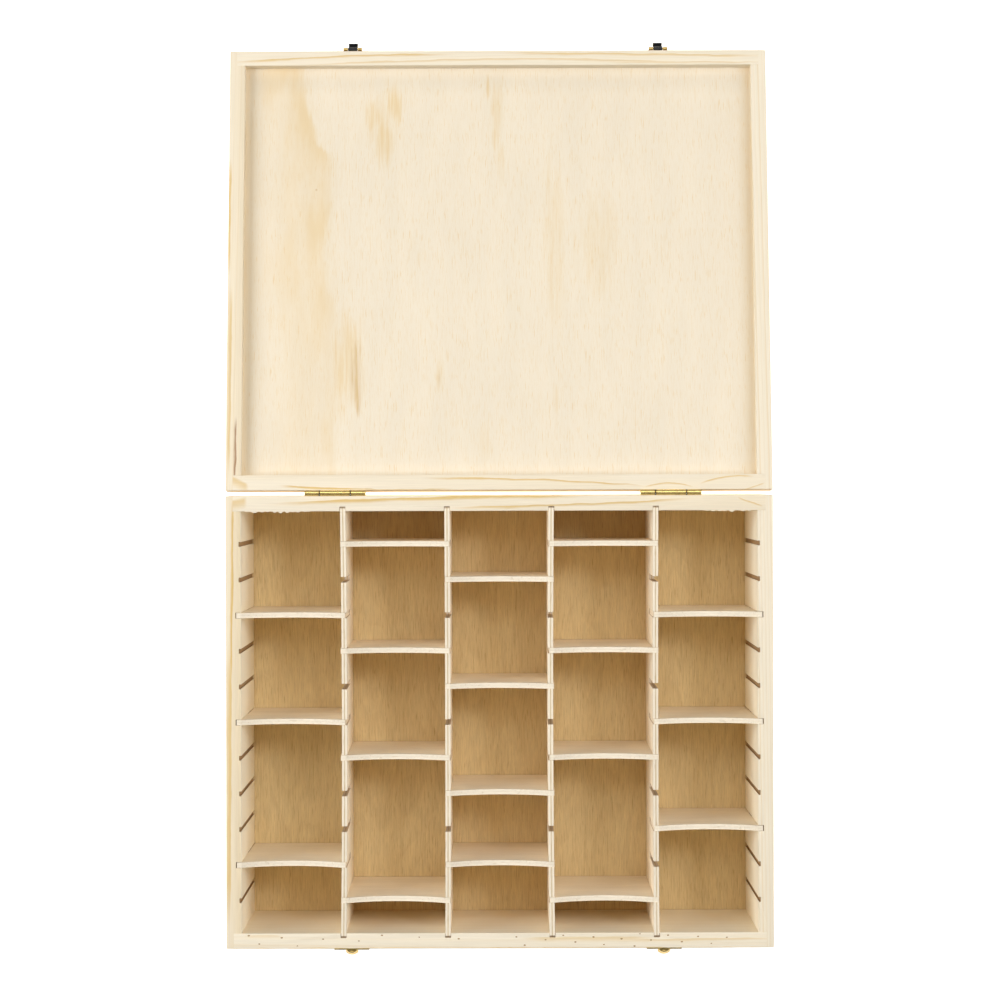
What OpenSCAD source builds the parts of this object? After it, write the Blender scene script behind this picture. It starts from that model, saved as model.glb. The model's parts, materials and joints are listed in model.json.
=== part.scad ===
// Trading card storage box: an open pine box with a hinged lid, five columns and loose dividers.
// X runs across the columns, the front is at -Y, the hinges are at +Y and Z is up.
// The origin is the middle of the underside. The lid stands open, as the box is shown.

/* [Box] */
// Width across the columns, outside
box_w = 375; // [320:1:430]
// Depth from front to back, outside
box_d = 310; // [290:1:360]
// Height of the base, from the table to its rim
base_h = 90; // [80:1:120]
// Thickness of the pine walls and lid rails
wall_t = 10.5; // [9:0.5:14]
// Thickness of the plywood floor
floor_t = 3.8; // [3:0.1:6]

/* [Lid] */
// Depth inside the lid, from its rim to its panel
lid_recess = 7.2; // [7:0.1:14]
// Thickness of the plywood lid panel
lid_panel_t = 3.8; // [3.5:0.1:6]
// Gap between the two rims when the lid is shut
rim_gap = 0.25; // [0.1:0.05:0.5]
// How far the lid swings from shut to open
lid_open_angle = 187; // [100:1:187]

/* [Joinery] */
// Thickness of the side walls' tongues over the ends of the front and back walls
corner_lap = 5; // [3:0.5:7]
// How far the floor and lid panels reach into the walls
panel_lap = 5; // [3:0.5:6]
// Gap between pieces that are glued or screwed together
glue_gap = 0.05; // [0.02:0.01:0.1]

/* [Dividers] */
// Thickness of the divider plywood
ply_t = 3.6; // [3:0.1:5]
// Distance from the front and back walls to the middle of the nearest slot
slot_margin = 22.5; // [15:0.5:35]
// Depth of the slots below the rim
slot_depth = 43.5; // [35:0.5:50]
// Play on each face of a cross divider in its slot
slot_gap = 0.2; // [0.1:0.05:0.3]
// Depth of the grooves in the side walls
side_groove = 3.6; // [2:0.1:5]
// Depth of the grooves that hold the column dividers' ends
end_groove = 3; // [2:0.1:5]
// Space left at each end of a column divider in its groove
end_play = 0.7; // [0.3:0.1:1]
// Space left beyond the tip of a cross divider's ear
ear_tip_gap = 0.3; // [0.1:0.1:0.6]
// Space left under a cross divider's ear
ear_seat_gap = 0.4; // [0.2:0.1:1]
// Space beside the lower half of a cross divider
foot_gap = 0.4; // [0.2:0.1:1]
// Space under a cross divider
foot_lift = 0.2; // [0.1:0.1:0.5]
// Depth of the finger scoop in a cross divider's top edge
scoop_dip = 8; // [3:0.5:15]

/* [Hinges] */
// Distance from the left end of the box to the middle of the left hinge
hinge_left_inset = 75.2; // [60:0.1:95]
// Distance from the right end of the box to the middle of the right hinge
hinge_right_inset = 69.8; // [60:0.1:95]
// Length of a hinge
hinge_len = 41.5; // [38:0.5:50]
// Length of the middle knuckle
middle_knuckle = 21; // [15:0.5:26]
// Gap between two knuckles
knuckle_gap = 0.3; // [0.2:0.05:0.6]
// Diameter of the hinge barrel
barrel_d = 3.6; // [3.1:0.1:3.8]
// Gap between the barrel and the wood
barrel_gap = 0.15; // [0.08:0.01:0.2]
// Diameter of the hinge pin
hinge_pin_d = 1.5; // [1.2:0.1:1.6]
// Running clearance round a pin
pin_gap = 0.05; // [0.02:0.01:0.09]
// Thickness of a hinge leaf
leaf_t = 0.8; // [0.6:0.05:0.85]
// Height of a hinge leaf, from the pin to its far edge
leaf_h = 9.5; // [8.5:0.1:10]
// Distance from the pin to the row of screws
leaf_screw_drop = 5.4; // [5:0.1:5.6]
// Distance between the two screws of a leaf
leaf_screw_pitch = 28; // [20:0.5:32]

/* [Hinge screws] */
// Diameter of the shank
screw_d = 2; // [1.6:0.1:2.2]
// Length below the leaf's face
screw_len = 7; // [5:0.5:7.5]
// Diameter of the head
screw_head_d = 4; // [3.4:0.1:4.4]
// Rise of the domed head above the leaf
screw_head_rise = 0.4; // [0.2:0.05:0.4]
// Width of the driver slot in every screw
driver_slot = 0.5; // [0.3:0.05:0.7]
// Depth of the driver slot in every screw
driver_slot_depth = 0.4; // [0.2:0.05:0.5]

/* [Latches] */
// Distance from the left end of the box to the middle of the left latch
latch_left_inset = 85.8; // [60:0.1:105]
// Distance from the right end of the box to the middle of the right latch
latch_right_inset = 75.2; // [60:0.1:105]
// Thickness of the latch brass
latch_t = 0.8; // [0.6:0.05:0.85]
// Width of the plate on the lid
latch_plate_w = 21.5; // [20:0.5:26]
// Distance from the lid's rim to the plate's far edge
latch_plate_reach = 10; // [9.5:0.1:10.4]
// Diameter of the flap's barrel
latch_barrel_d = 2.4; // [2.2:0.1:2.6]
// Diameter of the flap's pin
latch_pin_d = 1; // [0.8:0.1:1.1]
// Height of the flap's pin above the lid's rim
latch_pin_rise = 1.45; // [1.4:0.05:1.8]
// Gap between the flap's barrel and the wood
latch_barrel_gap = 0.3; // [0.25:0.05:0.5]
// Width of the flap
flap_w = 6.4; // [5:0.1:7]
// Length of each plate knuckle beside the flap
plate_knuckle = 3; // [2:0.1:4]
// How far the flap swings from hooked to its stop
flap_open_angle = 115; // [60:1:115]
// Space between the hooked flap and the nose
flap_gap = 0.4; // [0.3:0.05:0.5]
// How far the flap's hook reaches in under the nose
hook_reach = 1.3; // [1:0.1:1.5]
// Space between the nose and the hook below it
hook_gap = 0.7; // [0.6:0.05:0.9]
// Length of the flap's finger lip
lip_len = 1.9; // [1:0.1:3]
// Slant of the finger lip away from the wall
lip_angle = 45; // [30:1:60]
// Thickness of the stop heel on the flap's barrel
heel_t = 0.6; // [0.5:0.05:0.8]
// How far the stop heel laps over the plate's edge
heel_lap = 0.25; // [0.15:0.05:0.4]
// Height of the lid plate's screws above the lid's rim
plate_screw_rise = 5.9; // [5.6:0.1:6.2]
// Distance between the two screws of a lid plate
plate_screw_pitch = 15.4; // [14.8:0.1:17]
// Width of the catch plate on the base
catch_w = 24; // [23:0.5:30]
// Height of the catch plate
catch_h = 9; // [8:0.1:12]
// Distance from the base's rim down to the catch plate
catch_drop = 0.8; // [0.5:0.1:2]
// Distance between the two screws of a catch
catch_screw_pitch = 19.2; // [17:0.1:19.6]
// Width of the raised nose
nose_w = 8.4; // [7.5:0.1:10]
// Radius of the nose's round front
nose_r = 6; // [5.5:0.1:8]
// How far the nose stands out from the front wall
nose_out = 5; // [4.6:0.1:5.2]
// Height of the nose
nose_h = 3; // [2:0.1:3.4]
// How far the nose's upper edge leans back
nose_lean = 1.9; // [1.7:0.1:2.4]
// Distance from the base's rim down to the nose's lower edge
nose_drop = 4.7; // [4.5:0.1:5.4]

/* [Latch screws] */
// Diameter of the shank
pin_screw_d = 1.6; // [1.2:0.1:1.8]
// Length below the plate's face
pin_screw_len = 6; // [4:0.5:7]
// Diameter of the head
pin_screw_head_d = 3.4; // [2.8:0.1:3.6]
// Rise of the head above the plate
pin_screw_head_rise = 0.8; // [0.5:0.05:1.2]

/* [Hidden] */
$fn = 48;
// Extra reach that lets a cut pass through a face
cut = 1;

pine = "#ead7b0";
plywood = "#e2c99b";
brass = "#c9a24a";

inner_w = box_w - 2 * wall_t;
inner_d = box_d - 2 * wall_t;
lid_h = lid_recess + lid_panel_t;
lid_z = base_h + rim_gap;

// Columns are counted from the left, slots from the hinge side
column_count = 5;
slot_count = 11;
slot_numbers = [[3, 6, 10], [1, 4, 7, 11], [2, 5, 8, 10], [1, 4, 7, 11], [3, 6, 9]];
column_w = (inner_w - (column_count - 1) * ply_t) / column_count;
slot_pitch = (inner_d - 2 * slot_margin) / (slot_count - 1);
function column_x(column) = -inner_w / 2 + (column - 0.5) * column_w + (column - 1) * ply_t;
function divider_x(divider) = -inner_w / 2 + divider * column_w + (divider - 0.5) * ply_t;
function slot_y(slot) = ((slot_count + 1) / 2 - slot) * slot_pitch;
function cross_name(column, slot) = str("cross_divider_c", column, "_s", slot);

// Cross divider: ears fill the slots, and the scoop is an arc across the column
ear_len = min(ply_t, side_groove) - ear_tip_gap;
ear_h = slot_depth - ear_seat_gap;
scoop_r = (pow(column_w / 2, 2) + pow(scoop_dip, 2)) / (2 * scoop_dip);

// Hinge: the pin stands just behind the back wall, level with the gap between the rims
hinge_left_x = hinge_left_inset - box_w / 2;
hinge_right_x = box_w / 2 - hinge_right_inset;
hinge_out = barrel_d / 2 + barrel_gap;
hinge_y = box_d / 2 + hinge_out;
hinge_z = base_h + rim_gap / 2;
end_knuckle = (hinge_len - middle_knuckle) / 2 - knuckle_gap;
leaf_relief = barrel_d / 2 + knuckle_gap;

// Latch: heights from the table, distances out from the front face
latch_left_x = latch_left_inset - box_w / 2;
latch_right_x = box_w / 2 - latch_right_inset;
latch_axis_z = lid_z + latch_pin_rise;
latch_axis_out = latch_barrel_d / 2 + latch_barrel_gap;
latch_face = glue_gap + latch_t;
plate_low_z = latch_axis_z + latch_barrel_d / 2 + knuckle_gap;
plate_top_z = lid_z + latch_plate_reach;
plate_screw_z = lid_z + plate_screw_rise;
catch_top_z = base_h - catch_drop;
catch_screw_z = catch_top_z - catch_h / 2;
nose_z = base_h - nose_drop;

// Flap's outline, hooked: the strip slants out past the nose and its hook turns in below it
hook_z = nose_z - hook_gap;
strip_top = [latch_axis_out + latch_pin_d / 2, latch_axis_z - latch_barrel_d / 3];
strip_low = [nose_out + 2 * flap_gap, hook_z];
strip_dir = (strip_low - strip_top) / norm(strip_low - strip_top);
strip_out = [-strip_dir[1], strip_dir[0]];
lip_dir = [sin(lip_angle), -cos(lip_angle)];
lip_out = [cos(lip_angle), sin(lip_angle)];
hook_tip = strip_low[0] - flap_gap - hook_reach;
hook_low_z = hook_z - latch_t;
lip_top = [strip_low[0], hook_low_z];
lip_end = lip_top + lip_len * lip_dir;
// The heel is a ridge on the flap's barrel that meets the plate's edge when the flap is open
plate_edge = [latch_face - latch_axis_out, plate_low_z - latch_axis_z];
heel_r = norm(plate_edge) + heel_lap;
heel_lag = asin((heel_t / 2 + flap_gap) / heel_r);
heel_angle = atan2(plate_edge[1], plate_edge[0]) - flap_open_angle - heel_lag;

// A block centred across X, with its low and high limits in Y and Z
module block(w, y, z) {
    translate([-w / 2, y[0], z[0]])
        cube([w, y[1] - y[0], z[1] - z[0]]);
}

// A rod along X, centred on X at a place in Y and Z
module rod(d, len, y, z) {
    translate([-len / 2, y, z])
        rotate([0, 90, 0])
            cylinder(d = d, h = len);
}

// Swings what is drawn shut to the open lid
module opened_lid() {
    translate([0, hinge_y, hinge_z])
        rotate([-lid_open_angle, 0, 0])
            translate([0, -hinge_y, -hinge_z])
                children();
}

// Puts a fitting on the back faces: +Y points out of the wood
module on_back(x) {
    translate([x, box_d / 2, 0])
        children();
}

// Puts a fitting on the front faces: +Y points out of the wood
module on_front(x) {
    translate([x, -box_d / 2, 0])
        rotate([0, 0, 180])
            children();
}

// Left and right halves of the frame are mirror images
module on_side(side) {
    if (side < 0)
        children();
    else
        mirror([1, 0, 0])
            children();
}

// Places of the screws on the back and on the front
module hinge_screw_places(z) {
    for (x = [hinge_left_x, hinge_right_x])
        for (step = [-0.5, 0.5])
            on_back(x + step * leaf_screw_pitch)
                translate([0, 0, z])
                    children();
}

module latch_screw_places(pitch, z) {
    for (x = [latch_left_x, latch_right_x])
        for (step = [-0.5, 0.5])
            on_front(x + step * pitch)
                translate([0, 0, z])
                    children();
}

// A hole for a screw, from the face of the wood inwards along -Y
module pilot(d, len) {
    translate([0, cut, 0])
        rotate([90, 0, 0])
            cylinder(d = d + 2 * glue_gap, h = len + cut + glue_gap);
}

// The driver slot across a screw head whose top is at the given distance out
module driver_cut(head_d, top) {
    translate([-driver_slot / 2, top - driver_slot_depth, -head_d])
        cube([driver_slot, driver_slot_depth + cut, 2 * head_d]);
}

// A spherical cap that rises from a flat face
module dome(d, rise) {
    r = (pow(d / 2, 2) + pow(rise, 2)) / (2 * rise);
    intersection() {
        translate([0, 0, rise - r])
            sphere(r = r);
        cylinder(d = 2 * d, h = 2 * rise);
    }
}

// Countersunk screw in a hinge leaf: its head fills the leaf and rises in a low dome
module hinge_screw() {
    face = glue_gap + leaf_t;
    difference() {
        union() {
            translate([0, face, 0])
                rotate([-90, 0, 0])
                    dome(screw_head_d, screw_head_rise);
            translate([0, face, 0])
                rotate([90, 0, 0])
                    cylinder(d1 = screw_head_d, d2 = screw_d, h = leaf_t);
            translate([0, face, 0])
                rotate([90, 0, 0])
                    cylinder(d = screw_d, h = screw_len);
        }
        driver_cut(screw_head_d, face + screw_head_rise);
    }
}

// Round-headed screw on a latch plate
module latch_screw() {
    difference() {
        union() {
            translate([0, latch_face + glue_gap, 0])
                rotate([-90, 0, 0])
                    dome(pin_screw_head_d, pin_screw_head_rise);
            translate([0, latch_face + glue_gap, 0])
                rotate([90, 0, 0])
                    cylinder(d = pin_screw_d, h = pin_screw_len);
        }
        driver_cut(pin_screw_head_d, latch_face + glue_gap + pin_screw_head_rise);
    }
}

// Pocket for a plywood panel, shared by the panel and the four pieces that hold it
module panel_pocket(z, gap) {
    half_w = inner_w / 2 + panel_lap - gap;
    half_d = inner_d / 2 + panel_lap - gap;
    translate([-half_w, -half_d, z[0]])
        cube([2 * half_w, 2 * half_d, z[1] - z[0]]);
}

// Frame piece along the side: full depth, with its ends rebated for the cross pieces
module side_board(z) {
    difference() {
        translate([-box_w / 2, -box_d / 2, z[0]])
            cube([wall_t, box_d, z[1] - z[0]]);
        for (end = [-1, 1])
            translate([-box_w / 2 + corner_lap, end * (box_d - wall_t) / 2, z[0] - cut])
                translate([0, -wall_t / 2 - (end < 0 ? cut : 0), 0])
                    cube([wall_t, wall_t + cut, z[1] - z[0] + 2 * cut]);
    }
}

// Frame piece along the front or back, between the side boards' tongues
module cross_board(end, z) {
    w = box_w - 2 * (corner_lap + glue_gap);
    inner_face = inner_d / 2 + glue_gap;
    block(w, end < 0 ? [-box_d / 2, -inner_face] : [inner_face, box_d / 2], z);
}

module base_side_wall(side) {
    color(pine)
        on_side(side)
            difference() {
                side_board([0, base_h]);
                panel_pocket([-cut, floor_t], 0);
                for (slot = [1 : slot_count])
                    translate([-inner_w / 2 - side_groove, slot_y(slot) - ply_t / 2 - slot_gap, floor_t])
                        cube([side_groove + cut, ply_t + 2 * slot_gap, base_h]);
            }
}

module base_cross_wall(end) {
    color(pine)
        difference() {
            cross_board(end, [0, base_h]);
            panel_pocket([-cut, floor_t], 0);
            for (divider = [1 : column_count - 1])
                translate([divider_x(divider), end * inner_d / 2, base_h / 2 + floor_t])
                    cube([ply_t + 2 * glue_gap, 2 * end_groove, base_h], center = true);
            if (end > 0)
                hinge_screw_places(hinge_z - leaf_screw_drop)
                    pilot(screw_d, screw_len);
            else
                latch_screw_places(catch_screw_pitch, catch_screw_z)
                    pilot(pin_screw_d, pin_screw_len);
        }
}

module floor_panel() {
    color(plywood)
        panel_pocket([0, floor_t - glue_gap], glue_gap);
}

module column_divider(divider) {
    len = inner_d + 2 * (end_groove - end_play);
    color(plywood)
        translate([divider_x(divider), 0, 0])
            difference() {
                block(ply_t, [-len / 2, len / 2], [floor_t, base_h]);
                for (slot = [1 : slot_count])
                    translate([0, slot_y(slot), base_h])
                        cube([2 * ply_t, ply_t + 2 * slot_gap, 2 * slot_depth], center = true);
            }
}

module cross_divider(column, slot) {
    faces = [-ply_t / 2, ply_t / 2];
    ear_z = base_h - ear_h;
    color(plywood)
        translate([column_x(column), slot_y(slot), 0])
            difference() {
                union() {
                    block(column_w + 2 * ear_len, faces, [ear_z, base_h]);
                    block(column_w - 2 * foot_gap, faces, [floor_t + foot_lift, ear_z + cut]);
                }
                translate([0, 0, base_h - scoop_dip + scoop_r])
                    rotate([90, 0, 0])
                        cylinder(r = scoop_r, h = 2 * ply_t, center = true);
            }
}

module lid_side_rail(side) {
    color(pine)
        opened_lid()
            on_side(side)
                difference() {
                    side_board([lid_z, lid_z + lid_h]);
                    panel_pocket([lid_z + lid_recess, lid_z + lid_h + cut], 0);
                }
}

module lid_cross_rail(end) {
    color(pine)
        opened_lid()
            difference() {
                cross_board(end, [lid_z, lid_z + lid_h]);
                panel_pocket([lid_z + lid_recess, lid_z + lid_h + cut], 0);
                if (end > 0)
                    hinge_screw_places(hinge_z + leaf_screw_drop)
                        pilot(screw_d, screw_len);
                else
                    latch_screw_places(plate_screw_pitch, plate_screw_z)
                        pilot(pin_screw_d, pin_screw_len);
            }
}

module lid_panel() {
    color(plywood)
        opened_lid()
            panel_pocket([lid_z + lid_recess + glue_gap, lid_z + lid_h], glue_gap);
}

// One hinge leaf, drawn as the base leaf: its plate hangs below the pin.
// The base leaf has the two end knuckles and the lid leaf has the middle one.
module hinge_leaf(middle) {
    face = glue_gap + leaf_t;
    end_x = (hinge_len - end_knuckle) / 2;
    difference() {
        union() {
            block(hinge_len, [glue_gap, face], [-leaf_h, -leaf_relief]);
            if (middle) {
                block(middle_knuckle, [glue_gap, face], [-leaf_relief - cut, 0]);
                rod(barrel_d, middle_knuckle, hinge_out, 0);
            } else
                for (x = [-end_x, end_x])
                    translate([x, 0, 0]) {
                        block(end_knuckle, [glue_gap, face], [-leaf_relief - cut, 0]);
                        rod(barrel_d, end_knuckle, hinge_out, 0);
                    }
        }
        rod(hinge_pin_d + 2 * pin_gap, hinge_len + 2 * cut, hinge_out, 0);
        for (step = [-0.5, 0.5])
            translate([step * leaf_screw_pitch, face, -leaf_screw_drop])
                rotate([90, 0, 0]) {
                    cylinder(d1 = screw_head_d + 2 * glue_gap, d2 = screw_d + 2 * glue_gap, h = leaf_t);
                    cylinder(d = screw_d + 2 * glue_gap, h = leaf_t + cut);
                }
    }
}

module hinge_base_leaf(x) {
    color(brass)
        on_back(x)
            translate([0, 0, hinge_z])
                hinge_leaf(false);
}

module hinge_lid_leaf(x) {
    color(brass)
        opened_lid()
            on_back(x)
                translate([0, 0, hinge_z])
                    mirror([0, 0, 1])
                        hinge_leaf(true);
}

module hinge_pin(x) {
    color(brass)
        on_back(x)
            rod(hinge_pin_d, hinge_len, hinge_out, hinge_z);
}

module hinge_base_screws() {
    color(brass)
        hinge_screw_places(hinge_z - leaf_screw_drop)
            hinge_screw();
}

module hinge_lid_screws() {
    color(brass)
        opened_lid()
            hinge_screw_places(hinge_z + leaf_screw_drop)
                hinge_screw();
}

// The nose's form, drawn in by a thickness and run past its ends: straight sides and a round front that leans
module nose_form(thickness, past) {
    low = nose_z - past;
    high = nose_z + nose_h + past;
    front_r = nose_r - thickness;
    lean = nose_lean / nose_h;
    intersection() {
        translate([0, nose_out - nose_r, low])
            cylinder(r1 = front_r + lean * past, r2 = front_r - nose_lean - lean * past, h = high - low);
        block(nose_w - 2 * thickness, [glue_gap + latch_t / 2 - past, nose_out + cut], [low, high]);
    }
}

// The nose is a strap bent out of the catch's plate, open above and below
module nose() {
    difference() {
        nose_form(0, 0);
        nose_form(latch_t, cut);
    }
}

module latch_catch(x) {
    color(brass)
        on_front(x)
            difference() {
                union() {
                    block(catch_w, [glue_gap, latch_face], [catch_top_z - catch_h, catch_top_z]);
                    nose();
                }
                for (step = [-0.5, 0.5])
                    translate([step * catch_screw_pitch, latch_face, catch_screw_z])
                        pilot(pin_screw_d, latch_face);
            }
}

module latch_catch_screws() {
    color(brass)
        latch_screw_places(catch_screw_pitch, catch_screw_z)
            latch_screw();
}

// Plate on the lid, with a knuckle on each side of the flap
module latch_plate(x) {
    knuckle_x = flap_w / 2 + knuckle_gap + plate_knuckle / 2;
    faces = [glue_gap, latch_face];
    color(brass)
        opened_lid()
            on_front(x)
                difference() {
                    union() {
                        block(latch_plate_w, faces, [plate_low_z, plate_top_z]);
                        for (side = [-1, 1])
                            translate([side * knuckle_x, 0, 0]) {
                                block(plate_knuckle, faces, [latch_axis_z, plate_low_z + cut]);
                                rod(latch_barrel_d, plate_knuckle, latch_axis_out, latch_axis_z);
                            }
                    }
                    rod(latch_pin_d + 2 * pin_gap, latch_plate_w, latch_axis_out, latch_axis_z);
                    for (step = [-0.5, 0.5])
                        translate([step * plate_screw_pitch, latch_face, plate_screw_z])
                            pilot(pin_screw_d, latch_face);
                }
}

module latch_plate_screws() {
    color(brass)
        opened_lid()
            latch_screw_places(plate_screw_pitch, plate_screw_z)
                latch_screw();
}

module latch_pin(x) {
    color(brass)
        opened_lid()
            on_front(x)
                rod(latch_pin_d, flap_w + 2 * (knuckle_gap + plate_knuckle), latch_axis_out, latch_axis_z);
}

// The flap hooked shut: barrel, slanting strip, inward hook, finger lip and stop heel
module hooked_flap() {
    difference() {
        union() {
            rod(latch_barrel_d, flap_w, latch_axis_out, latch_axis_z);
            rotate([90, 0, 90])
                linear_extrude(flap_w, center = true)
                    polygon([
                        strip_top,
                        strip_low,
                        [hook_tip, hook_z],
                        [hook_tip, hook_low_z],
                        lip_top,
                        lip_end,
                        lip_end + latch_t * lip_out,
                        strip_low + latch_t * strip_out,
                        strip_top + latch_t * strip_out
                    ]);
            translate([0, latch_axis_out, latch_axis_z])
                rotate([heel_angle, 0, 0])
                    block(flap_w, [latch_pin_d, heel_r], [-heel_t / 2, heel_t / 2]);
        }
        rod(latch_pin_d + 2 * pin_gap, 2 * flap_w, latch_axis_out, latch_axis_z);
    }
}

module latch_flap(x) {
    color(brass)
        opened_lid()
            on_front(x)
                translate([0, latch_axis_out, latch_axis_z])
                    rotate([flap_open_angle, 0, 0])
                        translate([0, -latch_axis_out, -latch_axis_z])
                            hooked_flap();
}

base_cross_wall(-1);  // base_front_wall
base_cross_wall(1);  // base_back_wall
base_side_wall(-1);  // base_left_wall
base_side_wall(1);  // base_right_wall
floor_panel();
for (divider = [1 : column_count - 1])
    column_divider(divider);
for (column = [1 : column_count])
    for (slot = slot_numbers[column - 1])
        cross_divider(column, slot);
lid_cross_rail(-1);  // lid_front_rail
lid_cross_rail(1);  // lid_back_rail
lid_side_rail(-1);  // lid_left_rail
lid_side_rail(1);  // lid_right_rail
lid_panel();
hinge_base_leaf(hinge_left_x);  // hinge_base_leaf_left
hinge_base_leaf(hinge_right_x);  // hinge_base_leaf_right
hinge_lid_leaf(hinge_left_x);  // hinge_lid_leaf_left
hinge_lid_leaf(hinge_right_x);  // hinge_lid_leaf_right
hinge_pin(hinge_left_x);  // hinge_pin_left
hinge_pin(hinge_right_x);  // hinge_pin_right
hinge_base_screws();
hinge_lid_screws();
latch_catch(latch_left_x);  // latch_catch_left
latch_catch(latch_right_x);  // latch_catch_right
latch_plate(latch_left_x);  // latch_plate_left
latch_plate(latch_right_x);  // latch_plate_right
latch_flap(latch_left_x);  // latch_flap_left
latch_flap(latch_right_x);  // latch_flap_right
latch_pin(latch_left_x);  // latch_pin_left
latch_pin(latch_right_x);  // latch_pin_right
latch_catch_screws();
latch_plate_screws();
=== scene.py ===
"""Looks of the trading card storage box: pine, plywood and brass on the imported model, and its stage."""
import json
import math

import bpy
import numpy as np
from bpy.props import FloatProperty, FloatVectorProperty, IntProperty, PointerProperty
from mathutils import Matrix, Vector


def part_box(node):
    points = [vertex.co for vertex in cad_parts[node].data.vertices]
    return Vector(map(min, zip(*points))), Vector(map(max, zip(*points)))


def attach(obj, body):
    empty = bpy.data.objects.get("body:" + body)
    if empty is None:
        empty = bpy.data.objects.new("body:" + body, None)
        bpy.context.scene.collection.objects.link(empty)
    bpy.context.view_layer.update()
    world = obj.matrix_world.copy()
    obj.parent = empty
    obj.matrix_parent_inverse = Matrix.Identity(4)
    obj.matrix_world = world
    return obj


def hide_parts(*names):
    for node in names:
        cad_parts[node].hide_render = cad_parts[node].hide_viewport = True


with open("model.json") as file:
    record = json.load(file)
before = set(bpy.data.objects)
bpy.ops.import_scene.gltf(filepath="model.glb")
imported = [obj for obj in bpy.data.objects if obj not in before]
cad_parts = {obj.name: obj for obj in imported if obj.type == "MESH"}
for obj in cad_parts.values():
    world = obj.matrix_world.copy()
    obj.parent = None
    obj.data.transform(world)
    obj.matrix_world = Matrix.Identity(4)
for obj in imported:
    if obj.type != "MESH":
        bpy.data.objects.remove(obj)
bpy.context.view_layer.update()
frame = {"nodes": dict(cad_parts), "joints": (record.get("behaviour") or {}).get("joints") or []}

bl_info = {
    "name": "Card box",
    "version": (1, 0, 0),
    "blender": (4, 5, 0),
    "location": "3D View > Sidebar > Card box",
    "description": "Builds the wood, plywood and brass of a trading card storage box on its packed model",
    "category": "Object",
}

MM = 0.001
SHARP_ANGLE = math.radians(50)

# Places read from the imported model


def node_box(name):
    """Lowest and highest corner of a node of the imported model, in millimetres."""
    return [np.array(corner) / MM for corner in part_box(name)]


def joint_named(name):
    """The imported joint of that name."""
    return next(joint for joint in frame["joints"] if joint["name"] == name)


LEFT_WALL = node_box("base_left_wall")
HALF_W, HALF_D = -LEFT_WALL[0][0], -LEFT_WALL[0][1]
RIM_Z = LEFT_WALL[1][2]
WALL_T = LEFT_WALL[1][0] - LEFT_WALL[0][0]
INNER_Y = HALF_D - WALL_T
COLUMN_NODES = [f"column_divider_{number}" for number in range(1, 5)]
COLUMN_X = [sum(node_box(name))[0] / 2 for name in COLUMN_NODES]
COLUMN_BOX = node_box(COLUMN_NODES[0])
PLY_T = COLUMN_BOX[1][0] - COLUMN_BOX[0][0]
FLOOR_Z = COLUMN_BOX[0][2]
CROSS_NODES = sorted(name for name in frame["nodes"] if name.startswith("cross_divider"))
SLOT_COUNT = 11
FIRST_SLOT, LAST_SLOT = (sum(node_box(f"cross_divider_c2_s{slot}"))[1] / 2 for slot in (1, SLOT_COUNT))
SLOT_Y = np.linspace(LAST_SLOT, FIRST_SLOT, SLOT_COUNT)
LID_HINGE = joint_named("lid_hinge")
HINGE_Y, HINGE_Z = np.array(LID_HINGE["pos_m"][1:]) / MM
LID_SWING = math.radians(LID_HINGE["range_deg"][0])


# What a user may change


def length(name, description, millimetres):
    """A length property whose default is given in millimetres."""
    return FloatProperty(name=name, description=description, default=millimetres * MM, unit="LENGTH",
                         precision=5)


def colour(name, description, red, green, blue):
    """A colour property, in linear light."""
    return FloatVectorProperty(name=name, description=description, default=(red, green, blue),
                               subtype="COLOR", min=0.0, max=1.0, size=3)


def watts(name, description, power):
    """A power property for a light."""
    return FloatProperty(name=name, description=description, default=power, min=0.0, unit="POWER")


class CardBoxSizes(bpy.types.PropertyGroup):
    """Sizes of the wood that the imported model's boxes don't give."""

    outer_ease: length("Outer easing", "Rounding of the sanded outer edges", 0.5)
    cut_ease: length("Cut easing", "Rounding of the inner edges, grooves and plywood", 0.22)
    corner_lap: length("Corner lap", "Thickness of a side wall's tongue", 5.0)
    panel_lap: length("Panel lap", "How far the floor and lid panels reach into the walls", 5.0)
    groove_depth: length("Groove depth", "Depth of a side wall's groove that holds a divider", 3.6)
    bare_depth: length("Bare groove depth", "Depth of a side wall's groove that stands empty", 1.3)
    bare_width: length("Bare groove width", "Width of a side wall's groove that stands empty", 3.0)
    notch_depth: length("Notch depth", "Depth of the notches for the column dividers", 3.0)
    slot_play: length("Slot play", "Play on each face of a divider in its slot", 0.08)
    slot_depth: length("Slot depth", "Depth of the slots below the rim", 43.5)
    end_chamfer: length("End chamfer", "Chamfer on a column divider's upper ends", 1.2)
    ear_trim: length("Ear trim", "How far a cross divider's ear stops short in a wall's groove", 0.15)
    scoop_dip: length("Scoop dip", "Depth of the scoop in a cross divider's top edge", 8.0)
    lid_rim_z: length("Lid rim", "Height of the lid's rim when it is shut", 90.25)
    lid_height: length("Lid height", "Height of the lid's rails", 11.0)
    lid_recess: length("Lid recess", "Depth from the lid's rim to its panel", 7.2)


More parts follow.
